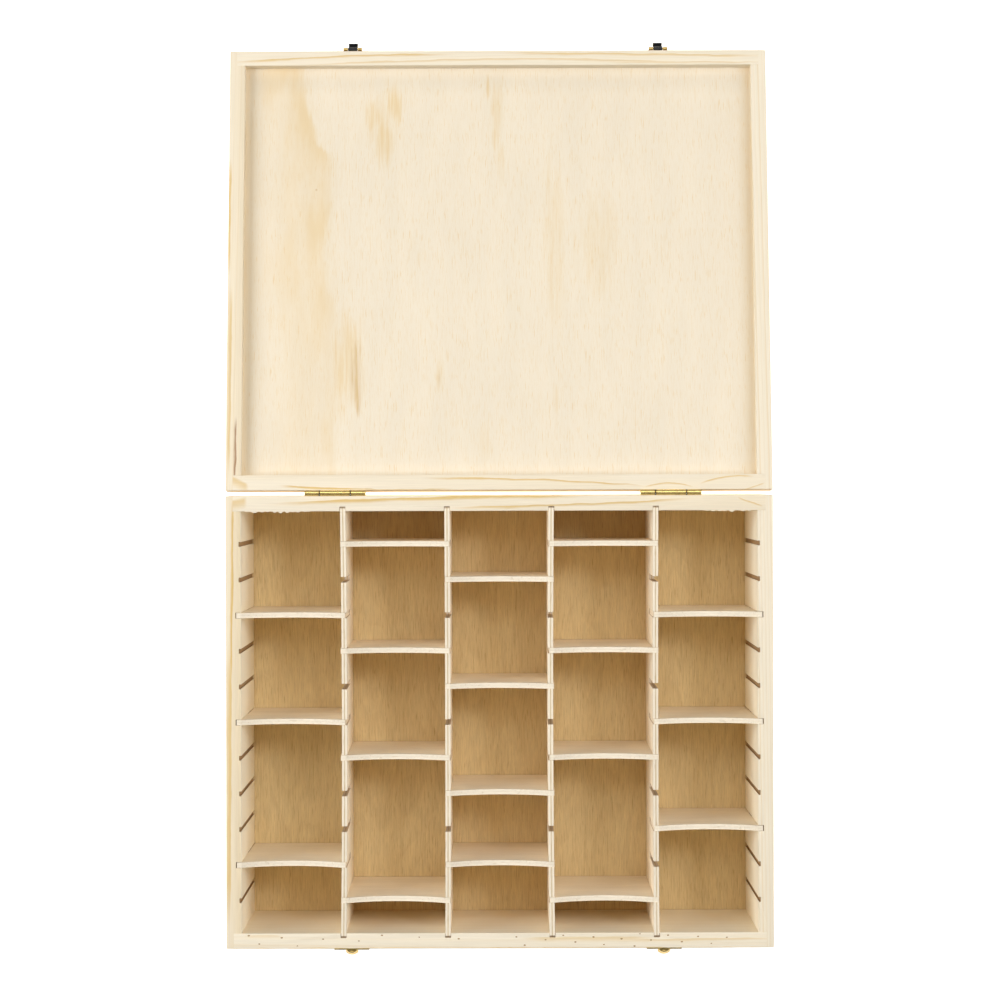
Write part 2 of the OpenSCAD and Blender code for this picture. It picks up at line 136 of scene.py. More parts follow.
class CardBoxColours(bpy.types.PropertyGroup):
    """Colours of the wood and the brass."""

    pine_pale: colour("Pale pine", "Early wood of the walls and rails", 0.89, 0.79, 0.62)
    # Painted light: paler pine for the walls' inner faces, in place of light they lack
    pine_late: colour("Late pine", "Growth lines of the walls and rails", 0.74, 0.51, 0.19)
    pine_inner_painted_light: colour("Inner pine", "Faces of the walls inside the box", 0.94, 0.87, 0.70)
    pine_resin: colour("Resin", "Resin streak in one lid rail", 0.36, 0.17, 0.06)
    # Saw burn and painted shade: dark brown of the grooves, notches and slots; also the colour of the painted
    # shade where boards meet the floor, and of the pin marks
    scorch: colour("Scorched cut", "Saw-burnt wood in grooves, notches and slots", 0.34, 0.20, 0.085)
    lid_pale: colour("Lid plywood", "Face of the lid panel", 0.87, 0.77, 0.61)
    lid_tan: colour("Lid streaks", "Darker figure of the lid panel", 0.80, 0.61, 0.34)
    lid_brown: colour("Lid marks", "Golden brown marks of the lid panel", 0.62, 0.40, 0.15)
    floor_pale: colour("Floor plywood", "Face of the floor panel", 0.80, 0.645, 0.36)
    floor_dark: colour("Floor streaks", "Darker fibres of the floor panel", 0.44, 0.28, 0.11)
    ply_pale: colour("Divider plywood", "Outer plies of the dividers", 0.90, 0.80, 0.635)
    ply_core: colour("Divider core", "Middle ply of the dividers", 0.56, 0.40, 0.21)
    brass: colour("Brass", "Bright brass of hinges, latches and screws", 0.80, 0.60, 0.23)
    tarnish: colour("Tarnish", "Dull brass in corners and scratches", 0.42, 0.28, 0.09)
    pin_dark: colour("Hinge pin", "Blackened steel of the pins, seen between knuckles", 0.05, 0.035, 0.02)
    # Painted dark reflection: the black of a latch flap's inner face
    backing: colour("Flap backing", "Dark inner face of a latch flap", 0.006, 0.006, 0.007)
    # Painted shade: the dark of the hinges' knuckle gaps and of the catches' insides by the wall
    painted_gap_shade: colour("Grime", "Dark oil in the hinges' joints and inside the catches", 0.05, 0.03, 0.012)


class CardBoxStage(bpy.types.PropertyGroup):
    """Light on the stage."""

    sky: FloatProperty(name="Surround", description="How bright the surround shines in polished brass",
                       default=0.35, min=0.0)
    key: watts("Key light", "Power of the small light high on the right", 15.9)
    right: watts("Right softbox", "Power of the large light on the right", 24.0)
    left: watts("Left softbox", "Power of the large light on the left", 40.5)
    back: watts("Top softbox", "Power of the large light above the lid", 13.0)
    glow: FloatProperty(name="Floor glow", description="Light that the white table gives off", default=0.6,
                        min=0.0)
    seed: IntProperty(name="Seed", description="Seed of the marks and torn fibres", default=4, min=0)


def in_mm(group, name):
    """A length property in millimetres."""
    return getattr(group, name) / MM


def paint(name):
    """A colour property with full alpha."""
    return (*getattr(bpy.context.scene.card_box_colours, name), 1.0)


# Surfaces


def eased_outline(corners, ease, depth, steps=4):
    """Closed outline with its corners rounded.

    A corner P becomes the arc ((1-t)^2 S + 2t(1-t) w P + t^2 E) / ((1-t)^2 + 2t(1-t) w + t^2), where S and E
    lie one easing back along its two edges and w is the cosine of half the turn. One more point on each edge
    keeps the flats flat when shaded, and an easing of zero keeps the corner sharp. Returns the points and, for
    the edge that leaves each of them, how deep it is eased at the ends of the run.
    """
    corners = np.asarray(corners, float)
    depth = np.broadcast_to(np.asarray(depth, float), len(corners))
    back, ahead = (np.roll(corners, turn, axis=0) - corners for turn in (1, -1))
    back_len, ahead_len = np.linalg.norm(back, axis=1), np.linalg.norm(ahead, axis=1)
    reach = np.minimum(ease, 0.3 * np.minimum(back_len, ahead_len))[:, None]
    back, ahead = back / back_len[:, None], ahead / ahead_len[:, None]
    weight = np.sqrt(np.clip((1 - np.sum(back * ahead, axis=1)) / 2, 1e-9, 1))[:, None, None]
    start, end = (corners + reach * back)[:, None], (corners + reach * ahead)[:, None]
    corner = corners[:, None]
    t = np.linspace(0, 1, steps + 1)[None, :, None]
    shares = (1 - t) ** 2, 2 * t * (1 - t) * weight, t ** 2
    curve = (shares[0] * start + shares[1] * corner + shares[2] * end) / sum(shares)
    hold = 1.6 * reach
    points = np.concatenate([(corners + hold * back)[:, None], curve, (corners + hold * ahead)[:, None]],
                            axis=1)
    before = np.roll(depth, 1)
    depths = np.stack([before] * 2 + [np.minimum(before, depth)] * (steps - 2) + [depth] * 3, axis=1)
    points, depths = points.reshape(-1, 2), depths.reshape(-1)
    keep = np.linalg.norm(np.roll(points, -1, axis=0) - points, axis=1) > 1e-6
    return points[keep], depths[keep]


def inset(points, depths):
    """How each point of an anticlockwise outline moves when every edge moves in by its own depth: the vector
    v whose product with the outward normals m and n of the point's two edges is minus their depths."""
    edge = np.roll(points, -1, axis=0) - points
    edge /= np.linalg.norm(edge, axis=1, keepdims=True)
    after = np.stack([edge[:, 1], -edge[:, 0]], axis=1)
    before, depths_before = np.roll(after, 1, axis=0), np.roll(depths, 1)
    cos = np.sum(before * after, axis=1)
    straight = cos > 0.999
    spread = np.where(straight, 1.0, 1 - cos ** 2)
    first = np.where(straight, (depths_before + depths) / 4, (depths_before - cos * depths) / spread)
    second = np.where(straight, (depths_before + depths) / 4, (depths - cos * depths_before) / spread)
    return -(first[:, None] * before + second[:, None] * after)


def eased_run(low, high, ease, steps=4):
    """Stations of a run with rounded ends, and the share of the easing that the outline shrinks by at each:
    a quarter circle, so 1 - cos of the turn along the run and 1 - sin of it across."""
    turn = np.linspace(0, math.pi / 2, steps + 1)
    rise, share = ease * (1 - np.cos(turn)), 1 - np.sin(turn)
    hold = 1.6 * ease
    stations = np.concatenate([low + rise, [low + hold, high - hold], (high - rise)[::-1]])
    return stations, np.concatenate([share, [0, 0], share[::-1]])


def carried(outline, depths, stations, shares, axes):
    """Rings of an outline carried along a straight run: each ring is the outline drawn in by its share of
    the depths, at its station. axes gives the places of the outline's two axes and of the run in x, y, z."""
    drawn_in = outline[None] + shares[:, None, None] * inset(outline, depths)[None]
    rings = np.empty(drawn_in.shape[:2] + (3,))
    rings[..., axes[0]], rings[..., axes[1]] = drawn_in[..., 0], drawn_in[..., 1]
    rings[..., axes[2]] = stations[:, None]
    return rings


def tube_faces(ring_count, point_count, first=0):
    """Quads between neighbouring rings of a closed tube, and the two end faces."""
    ring, point = np.meshgrid(np.arange(ring_count - 1), np.arange(point_count), indexing="ij")
    here, there = ring * point_count + point, ring * point_count + (point + 1) % point_count
    quads = np.stack([here, there, there + point_count, here + point_count], axis=-1).reshape(-1, 4) + first
    start = np.arange(point_count)[::-1] + first
    end = np.arange(point_count) + first + (ring_count - 1) * point_count
    return quads.tolist() + [start.tolist(), end.tolist()]


def swung_open(points):
    """Points of the shut lid turned about the hinge pin to the open lid."""
    y, z = points[..., 1] - HINGE_Y, points[..., 2] - HINGE_Z
    cos, sin = math.cos(LID_SWING), math.sin(LID_SWING)
    return np.stack([points[..., 0], HINGE_Y + y * cos - z * sin, HINGE_Z + y * sin + z * cos], axis=-1)


def new_piece(name, points, faces, grain=None, flat=(), finish=None, scorch=None):
    """Mesh object at the origin from points in millimetres. grain is an attribute in millimetres that the
    wood's figure follows, and a burn-and-shade one from 0 to 1 for cuts, drawn dark brown for saw burn and
    painted shade; flat holds the numbers of the faces that aren't shaded smooth."""
    mesh = bpy.data.meshes.new(name)
    mesh.from_pydata((points * MM).tolist(), [], faces)
    smooth = np.ones(len(faces), bool)
    smooth[list(flat)] = False
    mesh.polygons.foreach_set("use_smooth", smooth)
    if grain is not None:
        layer = mesh.attributes.new("grain", "FLOAT_VECTOR", "POINT")
        layer.data.foreach_set("vector", grain.astype(np.float32).ravel())
    if scorch is not None:
        layer = mesh.attributes.new("scorch", "FLOAT", "POINT")
        layer.data.foreach_set("value", scorch.astype(np.float32).ravel())
    join_doubles(mesh)
    mesh.set_sharp_from_angle(angle=SHARP_ANGLE)
    mesh.update()
    piece = bpy.data.objects.new(name, mesh)
    bpy.context.scene.collection.objects.link(piece)
    if finish is not None:
        mesh.materials.append(finish)
    return piece


def join_doubles(mesh):
    """Joins points that coincide, which also takes out faces of no area."""
    import bmesh
    work = bmesh.new()
    work.from_mesh(mesh)
    bmesh.ops.remove_doubles(work, verts=work.verts, dist=0.002 * MM)
    work.to_mesh(mesh)
    work.free()


def stands_for(piece, node, body):
    """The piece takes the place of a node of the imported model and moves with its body."""
    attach(piece, body)
    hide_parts(node)


def dress(node, finish):
    """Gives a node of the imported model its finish."""
    materials = frame["nodes"][node].data.materials
    materials.clear()
    materials.append(finish)


# Node trees


def put(tree, kind, sockets=None, **settings):
    """Places a node. sockets gives values, or sockets of other nodes, for its inputs by name or number."""
    node = tree.nodes.new(kind)
    for key, value in settings.items():
        setattr(node, key, value)
    for key, value in (sockets or {}).items():
        if isinstance(value, bpy.types.NodeSocket):
            tree.links.new(value, node.inputs[key])
        else:
            node.inputs[key].default_value = value
    return node


def sums(tree, operation, *values):
    """Result of a Math node."""
    return put(tree, "ShaderNodeMath", dict(enumerate(values)), operation=operation).outputs[0]


def times(tree, *values):
    """One value times another."""
    return sums(tree, "MULTIPLY", *values)


def less(tree, *values):
    """One value less another."""
    return sums(tree, "SUBTRACT", *values)


def larger(tree, *values):
    """The larger of two values."""
    return sums(tree, "MAXIMUM", *values)


def vectors(tree, operation, *values):
    """Result of a Vector Math node: its number for a length, or else its vector."""
    node = put(tree, "ShaderNodeVectorMath", dict(enumerate(values)), operation=operation)
    return node.outputs["Value" if operation == "LENGTH" else "Vector"]


def parts(tree, vector):
    """The three parts of a vector."""
    return put(tree, "ShaderNodeSeparateXYZ", {0: vector}).outputs


def object_mm(tree):
    """Object coordinates in millimetres."""
    return vectors(tree, "MULTIPLY", put(tree, "ShaderNodeTexCoord").outputs["Object"], (1 / MM,) * 3)


def faded(tree, value, low, high, start=0.0, end=1.0):
    """A smooth step from start to end as the value goes from low to high."""
    sockets = {0: value, 1: low, 2: high, 3: start, 4: end}
    return put(tree, "ShaderNodeMapRange", sockets, interpolation_type="SMOOTHSTEP").outputs[0]


def noise(tree, vector, stretch, detail=2.0, roughness=0.5):
    """Cloudy noise, stretched by its own scale on each axis."""
    scaled = vectors(tree, "MULTIPLY", vector, stretch)
    sockets = {"Vector": scaled, "Scale": 1.0, "Detail": detail, "Roughness": roughness}
    return put(tree, "ShaderNodeTexNoise", sockets).outputs[0]


def mixed(tree, share, first, second, way="MIX"):
    """A mix of two colours."""
    node = put(tree, "ShaderNodeMix", {0: share, 6: first, 7: second}, data_type="RGBA", blend_type=way)
    return node.outputs[2]


def toned(tree, tint, value, low, high):
    """A colour made darker or lighter, from low to high, as a value goes from 0 to 1."""
    level = faded(tree, value, 0.25, 0.75, low, high)
    grey = put(tree, "ShaderNodeCombineColor", {0: level, 1: level, 2: level}).outputs[0]
    return mixed(tree, 1.0, tint, grey, "MULTIPLY")


def new_group(name, inputs, outputs):
    """An empty node group with its sockets: inputs as name to kind and default, outputs as names of values."""
    tree = bpy.data.node_groups.new(name, "ShaderNodeTree")
    for label, (kind, default) in inputs.items():
        socket = tree.interface.new_socket(label, in_out="INPUT", socket_type=kind)
        if default is not None:
            socket.default_value = default
    for label in outputs:
        tree.interface.new_socket(label, in_out="OUTPUT", socket_type="NodeSocketFloat")
    entry = put(tree, "NodeGroupInput")
    leave = put(tree, "NodeGroupOutput")
    return tree, entry.outputs, leave.inputs


def grouped(tree, name, sockets):
    """Places a node group and returns its outputs."""
    return put(tree, "ShaderNodeGroup", sockets, node_tree=bpy.data.node_groups[name]).outputs


def new_finish(name, roughness=0.6, specular=0.3):
    """A material with one Principled shader; returns the material, its tree and the shader."""
    finish = bpy.data.materials.new(name)
    finish.use_nodes = True
    tree = finish.node_tree
    tree.nodes.clear()
    shader = put(tree, "ShaderNodeBsdfPrincipled", {"Roughness": roughness, "Specular IOR Level": specular})
    put(tree, "ShaderNodeOutputMaterial", {"Surface": shader.outputs[0]})
    return finish, tree, shader


def bumped(tree, shader, height, strength, depth):
    """Links a bump of that depth in millimetres to the shader's normal."""
    bump = put(tree, "ShaderNodeBump", {"Height": height, "Strength": strength, "Distance": depth * MM})
    tree.links.new(bump.outputs[0], shader.inputs["Normal"])


def grain_of_piece(tree):
    """The piece's own grain attribute, in millimetres."""
    return put(tree, "ShaderNodeAttribute", attribute_name="grain").outputs["Vector"]


def panel_grain(tree):
    """Object coordinates in millimetres, with front-to-back first, so that the grain runs that way."""
    x, y, z = parts(tree, object_mm(tree))
    return put(tree, "ShaderNodeCombineXYZ", {0: y, 1: x, 2: z}).outputs[0]


def make_pine_rings():
    """Growth rings of a log, from the grain vector: along the log and the two distances from its pith.

    The radius is the length of the two distances, pushed about by slow and by fine noise. Its whole number
    of ring widths picks how strong a ring is, and its fraction is the ring's age: late wood darkens slowly
    and stops at once.
    """
    tree, inside, out = new_group(
        "pine_rings",
        {"Grain": ("NodeSocketVector", None), "Ring Width": ("NodeSocketFloat", 3.5),
         "Waviness": ("NodeSocketFloat", 2.0)},
        ("Late", "Fibre", "Cloud"))
    grain = inside["Grain"]
    cloud = noise(tree, grain, (0.004, 0.06, 0.06))
    ragged = noise(tree, grain, (0.04, 0.6, 0.6))
    radius = vectors(tree, "LENGTH", vectors(tree, "MULTIPLY", grain, (0.0, 1.0, 1.0)))
    push = times(tree, less(tree, cloud, 0.5), inside["Waviness"])
    push = sums(tree, "MULTIPLY_ADD", less(tree, ragged, 0.5), 0.8, push)
    turns = sums(tree, "DIVIDE", sums(tree, "ADD", radius, push), inside["Ring Width"])
    chance = put(tree, "ShaderNodeTexWhiteNoise", {"W": sums(tree, "FLOOR", turns)},
                 noise_dimensions="1D").outputs["Value"]
    age = sums(tree, "FRACT", turns)
    late = times(tree, faded(tree, age, 0.45, 0.92), faded(tree, age, 0.94, 1.0, 1.0, 0.0))
    late = times(tree, late, sums(tree, "MULTIPLY_ADD", chance, 0.75, 0.25))
    tree.links.new(late, out["Late"])
    tree.links.new(noise(tree, grain, (0.03, 2.2, 2.2), 3.0), out["Fibre"])
    tree.links.new(cloud, out["Cloud"])


def make_ply_fibres():
    """Rotary-cut veneer from the grain vector: long and fine fibres along the grain, sparse short dark dashes,
    which are the peaks of a stretched noise, broad faint clouds, and the veneer's figure, whose arches are the
    contour lines of a slow noise: they darken slowly and stop at once."""
    names = "Fibre", "Fine", "Dash", "Cloud", "Figure"
    tree, inside, out = new_group("ply_fibres", {"Grain": ("NodeSocketVector", None)}, names)
    grain = inside["Grain"]
    tree.links.new(noise(tree, grain, (0.035, 1.4, 0.6), 4.0, 0.6), out["Fibre"])
    tree.links.new(noise(tree, grain, (0.12, 2.8, 1.2), 3.0, 0.6), out["Fine"])
    tree.links.new(faded(tree, noise(tree, grain, (0.09, 2.2, 0.6), 2.0), 0.6, 0.7), out["Dash"])
    tree.links.new(noise(tree, grain, (0.008, 0.05, 0.1), 3.0), out["Cloud"])
    level = times(tree, noise(tree, grain, (0.0055, 0.022, 0.02), 1.5), 15.0)
    age = sums(tree, "FRACT", level)
    arch = times(tree, faded(tree, age, 0.35, 0.9), faded(tree, age, 0.92, 1.0, 1.0, 0.0))
    tree.links.new(arch, out["Figure"])


def make_lid_figure():
    """Figure of the lid's face, in panel coordinates: a tan band with a sharp right-hand edge that fades to
    the left, and ragged patches, each an ellipse broken up by a noise stretched along the grain."""
    tree, inside, out = new_group("lid_figure", {"Grain": ("NodeSocketVector", None)}, ("Tan", "Brown"))
    grain = inside["Grain"]
    ragged = noise(tree, grain, (0.03, 0.35, 0.0), 3.0, 0.6)
    broken = faded(tree, noise(tree, grain, (0.02, 0.5, 0.0), 3.0, 0.6), 0.38, 0.62)
    along, across, _ = parts(tree, grain)
    tan = lid_band(tree, along, across, ragged, noise(tree, grain, (0.018, 0.06, 0.0), 3.0))
    for spot in LID_TAN_PATCHES:
        tan = larger(tree, tan, patch(tree, grain, ragged, broken, *spot))
    brown = patch(tree, grain, ragged, broken, *LID_BROWN_PATCHES[0])
    for spot in LID_BROWN_PATCHES[1:]:
        brown = larger(tree, brown, patch(tree, grain, ragged, broken, *spot))
    tree.links.new(tan, out["Tan"])
    tree.links.new(brown, out["Brown"])


# Edge of the tan band on the lid's face, as distance from the front-back line against distance from the front
BAND_ALONG, BAND_ACROSS = (200.0, 452.0), (-140.0, -105.0)
BAND_EDGE = ((200, -113), (270, -110.5), (311, -119), (360, -117), (387, -115.5), (401, -126), (415, -129.5),
             (436, -135), (451, -137))
# Patches on the lid's face: middle along and across, half sizes along and across, strength
LID_TAN_PATCHES = (
    ((416, -81), (26, 15), 0.5), ((421, -87), (14, 8), 1.0), ((428, -73), (18, 8), 1.0),
    ((404, -79), (22, 9), 1.0),
    ((424, -1), (32, 6), 0.5), ((441, -7), (11, 1.8), 0.9), ((425, -4), (9, 2), 0.9),
    ((405, -3), (14, 2), 0.9),
    ((388, 2), (20, 4), 0.5), 
    ((330, 39), (75, 10), 0.45), ((328, 70), (48, 18), 0.4), ((300, -135), (150, 30), 0.35),
    ((238, -41), (16, 3), 0.6), ((190, -10), (18, 5), 0.4), ((221, 39), (14, 3), 0.5),
    ((250, -106), (44, 14), 0.85),
)
LID_BROWN_PATCHES = (
    ((238, -99), (26, 5.5), 0.85), ((226, -97), (18, 3.2), 0.8), ((236, -41), (9, 1.4), 0.4),
    ((368.7, -127.2), (1.3, 1.0), 1.0),
)


def lid_band(tree, along, across, ragged, cloud):
    """The tan band: 0 to the right of its edge, strongest just to the left of it, fading out further left, and
    patchy."""
    sockets = {0: along, 1: BAND_ALONG[0], 2: BAND_ALONG[1], 3: 0.0, 4: 1.0}
    share = put(tree, "ShaderNodeMapRange", sockets).outputs[0]
    edge = put(tree, "ShaderNodeFloatCurve", {"Value": share})
    curve = edge.mapping.curves[0]
    spots = [((y - BAND_ALONG[0]) / (BAND_ALONG[1] - BAND_ALONG[0]),
              (x - BAND_ACROSS[0]) / (BAND_ACROSS[1] - BAND_ACROSS[0])) for y, x in BAND_EDGE]
    for spot, point in zip((spots[0], spots[-1]), curve.points):
        point.location = spot
    for spot in spots[1:-1]:
        curve.points.new(*spot)
    edge.mapping.update()
    sockets = {0: edge.outputs[0], 1: 0.0, 2: 1.0, 3: BAND_ACROSS[0], 4: BAND_ACROSS[1]}
    line = put(tree, "ShaderNodeMapRange", sockets).outputs[0]
    line = sums(tree, "MULTIPLY_ADD", less(tree, ragged, 0.5), 11.0, line)
    inward = less(tree, line, across)
    band = times(tree, faded(tree, inward, -2.5, 3.5), faded(tree, inward, 0.0, 50.0, 0.9, 0.2))
    band = times(tree, band, faded(tree, along, 230.0, 330.0, 0.5, 1.0))
    return times(tree, band, faded(tree, cloud, 0.35, 0.62, 0.35, 1.0))


def patch(tree, grain, ragged, broken, middle, half, share):
    """One ragged patch: an ellipse with a soft rim, its edge pushed about and its middle broken up."""
    offset = vectors(tree, "SUBTRACT", grain, (*middle, 0.0))
    scaled = vectors(tree, "MULTIPLY", offset, (1 / half[0], 1 / half[1], 0.0))
    reach = sums(tree, "MULTIPLY_ADD", less(tree, ragged, 0.5), 1.6, vectors(tree, "LENGTH", scaled))
    body = faded(tree, reach, 0.25, 1.05, share, 0.0)
    return times(tree, body, sums(tree, "MULTIPLY_ADD", broken, 0.6, 0.4))


def make_brass_wear():
    """Wear of plated brass, in object millimetres: cloudy tarnish, and scratches as the peaks of a noise
    stretched along the fitting."""
    tree, inside, out = new_group("brass_wear", {"Place": ("NodeSocketVector", None)}, ("Tarnish", "Scratch"))
    place = inside["Place"]
    tree.links.new(faded(tree, noise(tree, place, (0.35, 0.35, 0.35), 4.0, 0.65), 0.45, 0.75), out["Tarnish"])
    tree.links.new(faded(tree, noise(tree, place, (0.3, 5.0, 5.0), 3.0), 0.52, 0.7), out["Scratch"])


def burnt_and_shaded(tree, tint, most):
    """A colour, with up to that much of the dark brown of saw burn and painted shade where the piece's
    burn-and-shade attribute is 1.
    """
    share = put(tree, "ShaderNodeAttribute", attribute_name="scorch").outputs["Fac"]
    return mixed(tree, times(tree, share, most), tint, paint("scorch"))


LINE_SHAPE = "Middle Along", "Middle Across", "Slope", "Bend", "Half Length", "Half Width"


def make_pine_line():
    """One growth line on a board's face: it runs at m + s u + b u^2 across the board, where u is the distance
    along the board from its middle. It darkens slowly from one side, stops at once on the other, and fades
    towards its ends."""
    names = "Along", "Across", "Push", *LINE_SHAPE
    tree, inside, out = new_group("pine_line", {name: ("NodeSocketFloat", 0.0) for name in names}, ("Line",))
    u = less(tree, inside["Along"], inside["Middle Along"])
    rise = times(tree, sums(tree, "MULTIPLY_ADD", inside["Bend"], u, inside["Slope"]), u)
    line = sums(tree, "ADD", sums(tree, "ADD", inside["Middle Across"], rise), inside["Push"])
    off = sums(tree, "DIVIDE", less(tree, inside["Across"], line), inside["Half Width"])
    body = times(tree, faded(tree, off, -1.5, 0.3), faded(tree, off, 0.4, 1.0, 1.0, 0.0))
    reach = sums(tree, "DIVIDE", sums(tree, "ABSOLUTE", u), inside["Half Length"])
    tree.links.new(times(tree, body, faded(tree, reach, 0.55, 1.0, 1.0, 0.0)), out["Line"])


# Figure of each board: its rings' width, waviness and strength, and the growth lines that stand out, each with
# its middle along and across, slope, bend, half length, half width and strength. Distances in millimetres.
FIGURES = {
    "base_front_wall": (4.4, 2.5, 0.2, (
        (60, -148.8, 0.0, 0.0, 50, 1.8, 0.5), (135, -149.3, 0.01, 0.0, 60, 0.9, 0.55),
        (-162, -146.6, 0.0, 0.0, 15, 1.2, 0.35), (0, -154.8, 0.0, 0.0, 250, 0.5, 0.8))),
    "base_back_wall": (4.2, 4.5, 0.15, (
        (-45, 153.2, 0.023, -0.00012, 120, 1.5, 0.95), (50, 148.4, 0.037, 0.00018, 92, 1.1, 0.85),
        (172, 150.2, -0.35, 0.0, 10, 0.8, 0.8), (-179, 150.0, 0.2, 0.0, 7, 4.0, 0.65))),
    "base_left_wall": (11.0, 1.2, 0.25, (
        (90, -183.2, 0.0134, 0.0, 80, 1.3, 1.0), (-40, -185.4, 0.008, 0.0, 115, 2.2, 0.85),
        (135, -178.0, 0.02, 0.0, 20, 0.6, 0.5), (0, -178.0, 0.0, 0.0, 300, 9.0, 0.38))),
    "base_right_wall": (2.3, 0.8, 0.4, ()),
    "lid_front_rail": (3.0, 1.0, 0.12, (
        (-110, 462.6, 0.035, -0.00028, 85, 1.0, 0.8), (0, 460.4, 0.004, -0.0002, 165, 0.9, 0.55),
        (95, 463.5, -0.014, 0.0, 100, 1.0, 0.7), (130, 457.8, 0.0, 0.0, 60, 0.8, 0.5))),
    "lid_back_rail": (4.2, 4.5, 0.12, (
        (-122, 160.4, -0.046, 0.00037, 30, 1.0, 1.0), (-75, 159.1, -0.011, 0.0003, 50, 0.8, 0.6),
        (25, 165.6, -0.0375, -0.00031, 84, 0.9, 0.9), (116, 163.2, 0.0, -0.0095, 19, 0.7, 0.8),
        (156, 167.1, 0.13, -0.006, 21, 0.8, 0.85), (175, 160.7, 0.33, 0.0, 8, 0.7, 0.7),
        (-178, 163.5, -0.5, 0.0, 7, 4.0, 0.65))),
    "lid_left_rail": (4.0, 2.0, 0.3, (
        (349, -187.0, 0.0, 0.0, 45, 1.8, 0.85), (235, -185.6, 0.0, 0.0, 75, 1.8, 0.75),
        (320, -178.0, 0.0, 0.0, 300, 9.0, 0.22))),
    "lid_right_rail": (3.0, 1.0, 0.35, ()),
}
RESIN_LINES = {"lid_left_rail": ((186, -181.0, 0.01, 0.0, 25, 0.9, 0.85),),
               "lid_back_rail": ((0, 158.1, 0.0, 0.0, 400, 0.45, 0.55),)}


def facing_up(tree):
    """1 on the faces that point up at rest, and 0 on the others."""
    normal = put(tree, "ShaderNodeTexCoord").outputs["Normal"]
    return faded(tree, parts(tree, normal)[2], 0.3, 0.6)


def growth_lines(tree, name, grain, lines):
    """The strongest of a board's growth lines at each point of its rim."""
    x, y, _ = parts(tree, object_mm(tree))
    along, across = (y, x) if is_side(name) else (x, y)
    push = sums(tree, "MULTIPLY_ADD", noise(tree, grain, (0.05, 0.25, 0.25), 3.0), 2.4, -1.2)
    strongest = 0.0
    for *shape, strength in lines:
        sockets = {"Along": along, "Across": across, "Push": push, **dict(zip(LINE_SHAPE, shape))}
        line = grouped(tree, "pine_line", sockets)
        strongest = larger(tree, times(tree, line["Line"], strength), strongest)
    return times(tree, strongest, facing_up(tree))


# Painted light: how much paler each wall's inner face is drawn, to stand in for light it lacks, fitted to the
# photograph's brightness
PAINTED_LIGHT_FACES = {"base_left_wall": 0.85, "base_right_wall": 0.95, "base_front_wall": 0.45}


def inner_face(tree, name):
    """1 on a board's face inside the box, and 0 on its other faces."""
    axis = 0 if is_side(name) else 1
    near, far = (corner[axis] for corner in node_box(name))
    panel = "lid_panel" if "lid" in name else "floor_panel"
    frame_near, frame_far = (corner[axis] for corner in node_box(panel))
    plane, way = (far, 1.0) if near + far < frame_near + frame_far else (near, -1.0)
    off = times(tree, less(tree, parts(tree, object_mm(tree))[axis], plane), way)
    return faded(tree, off, -0.3, -0.1)


def painted_seam_shade(tree, tint, share):
    """A colour, darkened by that share in a thin line of painted shade where the piece stands on the floor
    panel.
    """
    height = parts(tree, object_mm(tree))[2]
    seam = times(tree, faded(tree, height, FLOOR_Z + 0.2, FLOOR_Z + 1.2, 0.7, 0.0), share)
    return mixed(tree, seam, tint, paint("scorch"))


def pine_finish(name):
    """Sanded pine of one board: pale early wood, tan growth rings and lines, faint fibres, any resin, an inner
    face drawn paler as painted light, saw burn and painted shade in its cuts, and painted shade where it meets
    the floor.
    """
    ring_width, waviness, ring_share, lines = FIGURES[name]
    finish, tree, shader = new_finish(f"pine_{name}", specular=0.25)
    grain = grain_of_piece(tree)
    figure = grouped(tree, "pine_rings", {"Grain": grain, "Ring Width": ring_width, "Waviness": waviness})
    late = times(tree, figure["Late"], ring_share)
    warm = faded(tree, figure["Cloud"], 0.5, 0.75, 0.0, 0.3 * ring_share)
    late = larger(tree, sums(tree, "ADD", late, warm), growth_lines(tree, name, grain, lines))
    tint = mixed(tree, late, paint("pine_pale"), paint("pine_late"))
    if name in RESIN_LINES:
        tint = mixed(tree, growth_lines(tree, name, grain, RESIN_LINES[name]), tint, paint("pine_resin"))
    tint = toned(tree, tint, figure["Fibre"], 0.955, 1.03)
    inner = inner_face(tree, name)
    # Painted light: the inner face drawn paler
    tint = mixed(tree, times(tree, inner, PAINTED_LIGHT_FACES.get(name, 0.0)), tint, paint("pine_inner_painted_light"))
    # Saw burn and painted shade in the cuts, and painted shade where the inner face meets the floor
    tint = painted_seam_shade(tree, burnt_and_shaded(tree, tint, 0.92), inner)
    tree.links.new(tint, shader.inputs["Base Color"])
    tree.links.new(faded(tree, figure["Fibre"], 0.2, 0.8, 0.5, 0.68), shader.inputs["Roughness"])
    height = sums(tree, "MULTIPLY_ADD", late, 0.6, figure["Fibre"])
    bumped(tree, shader, height, 0.25, 0.08)
    return finish


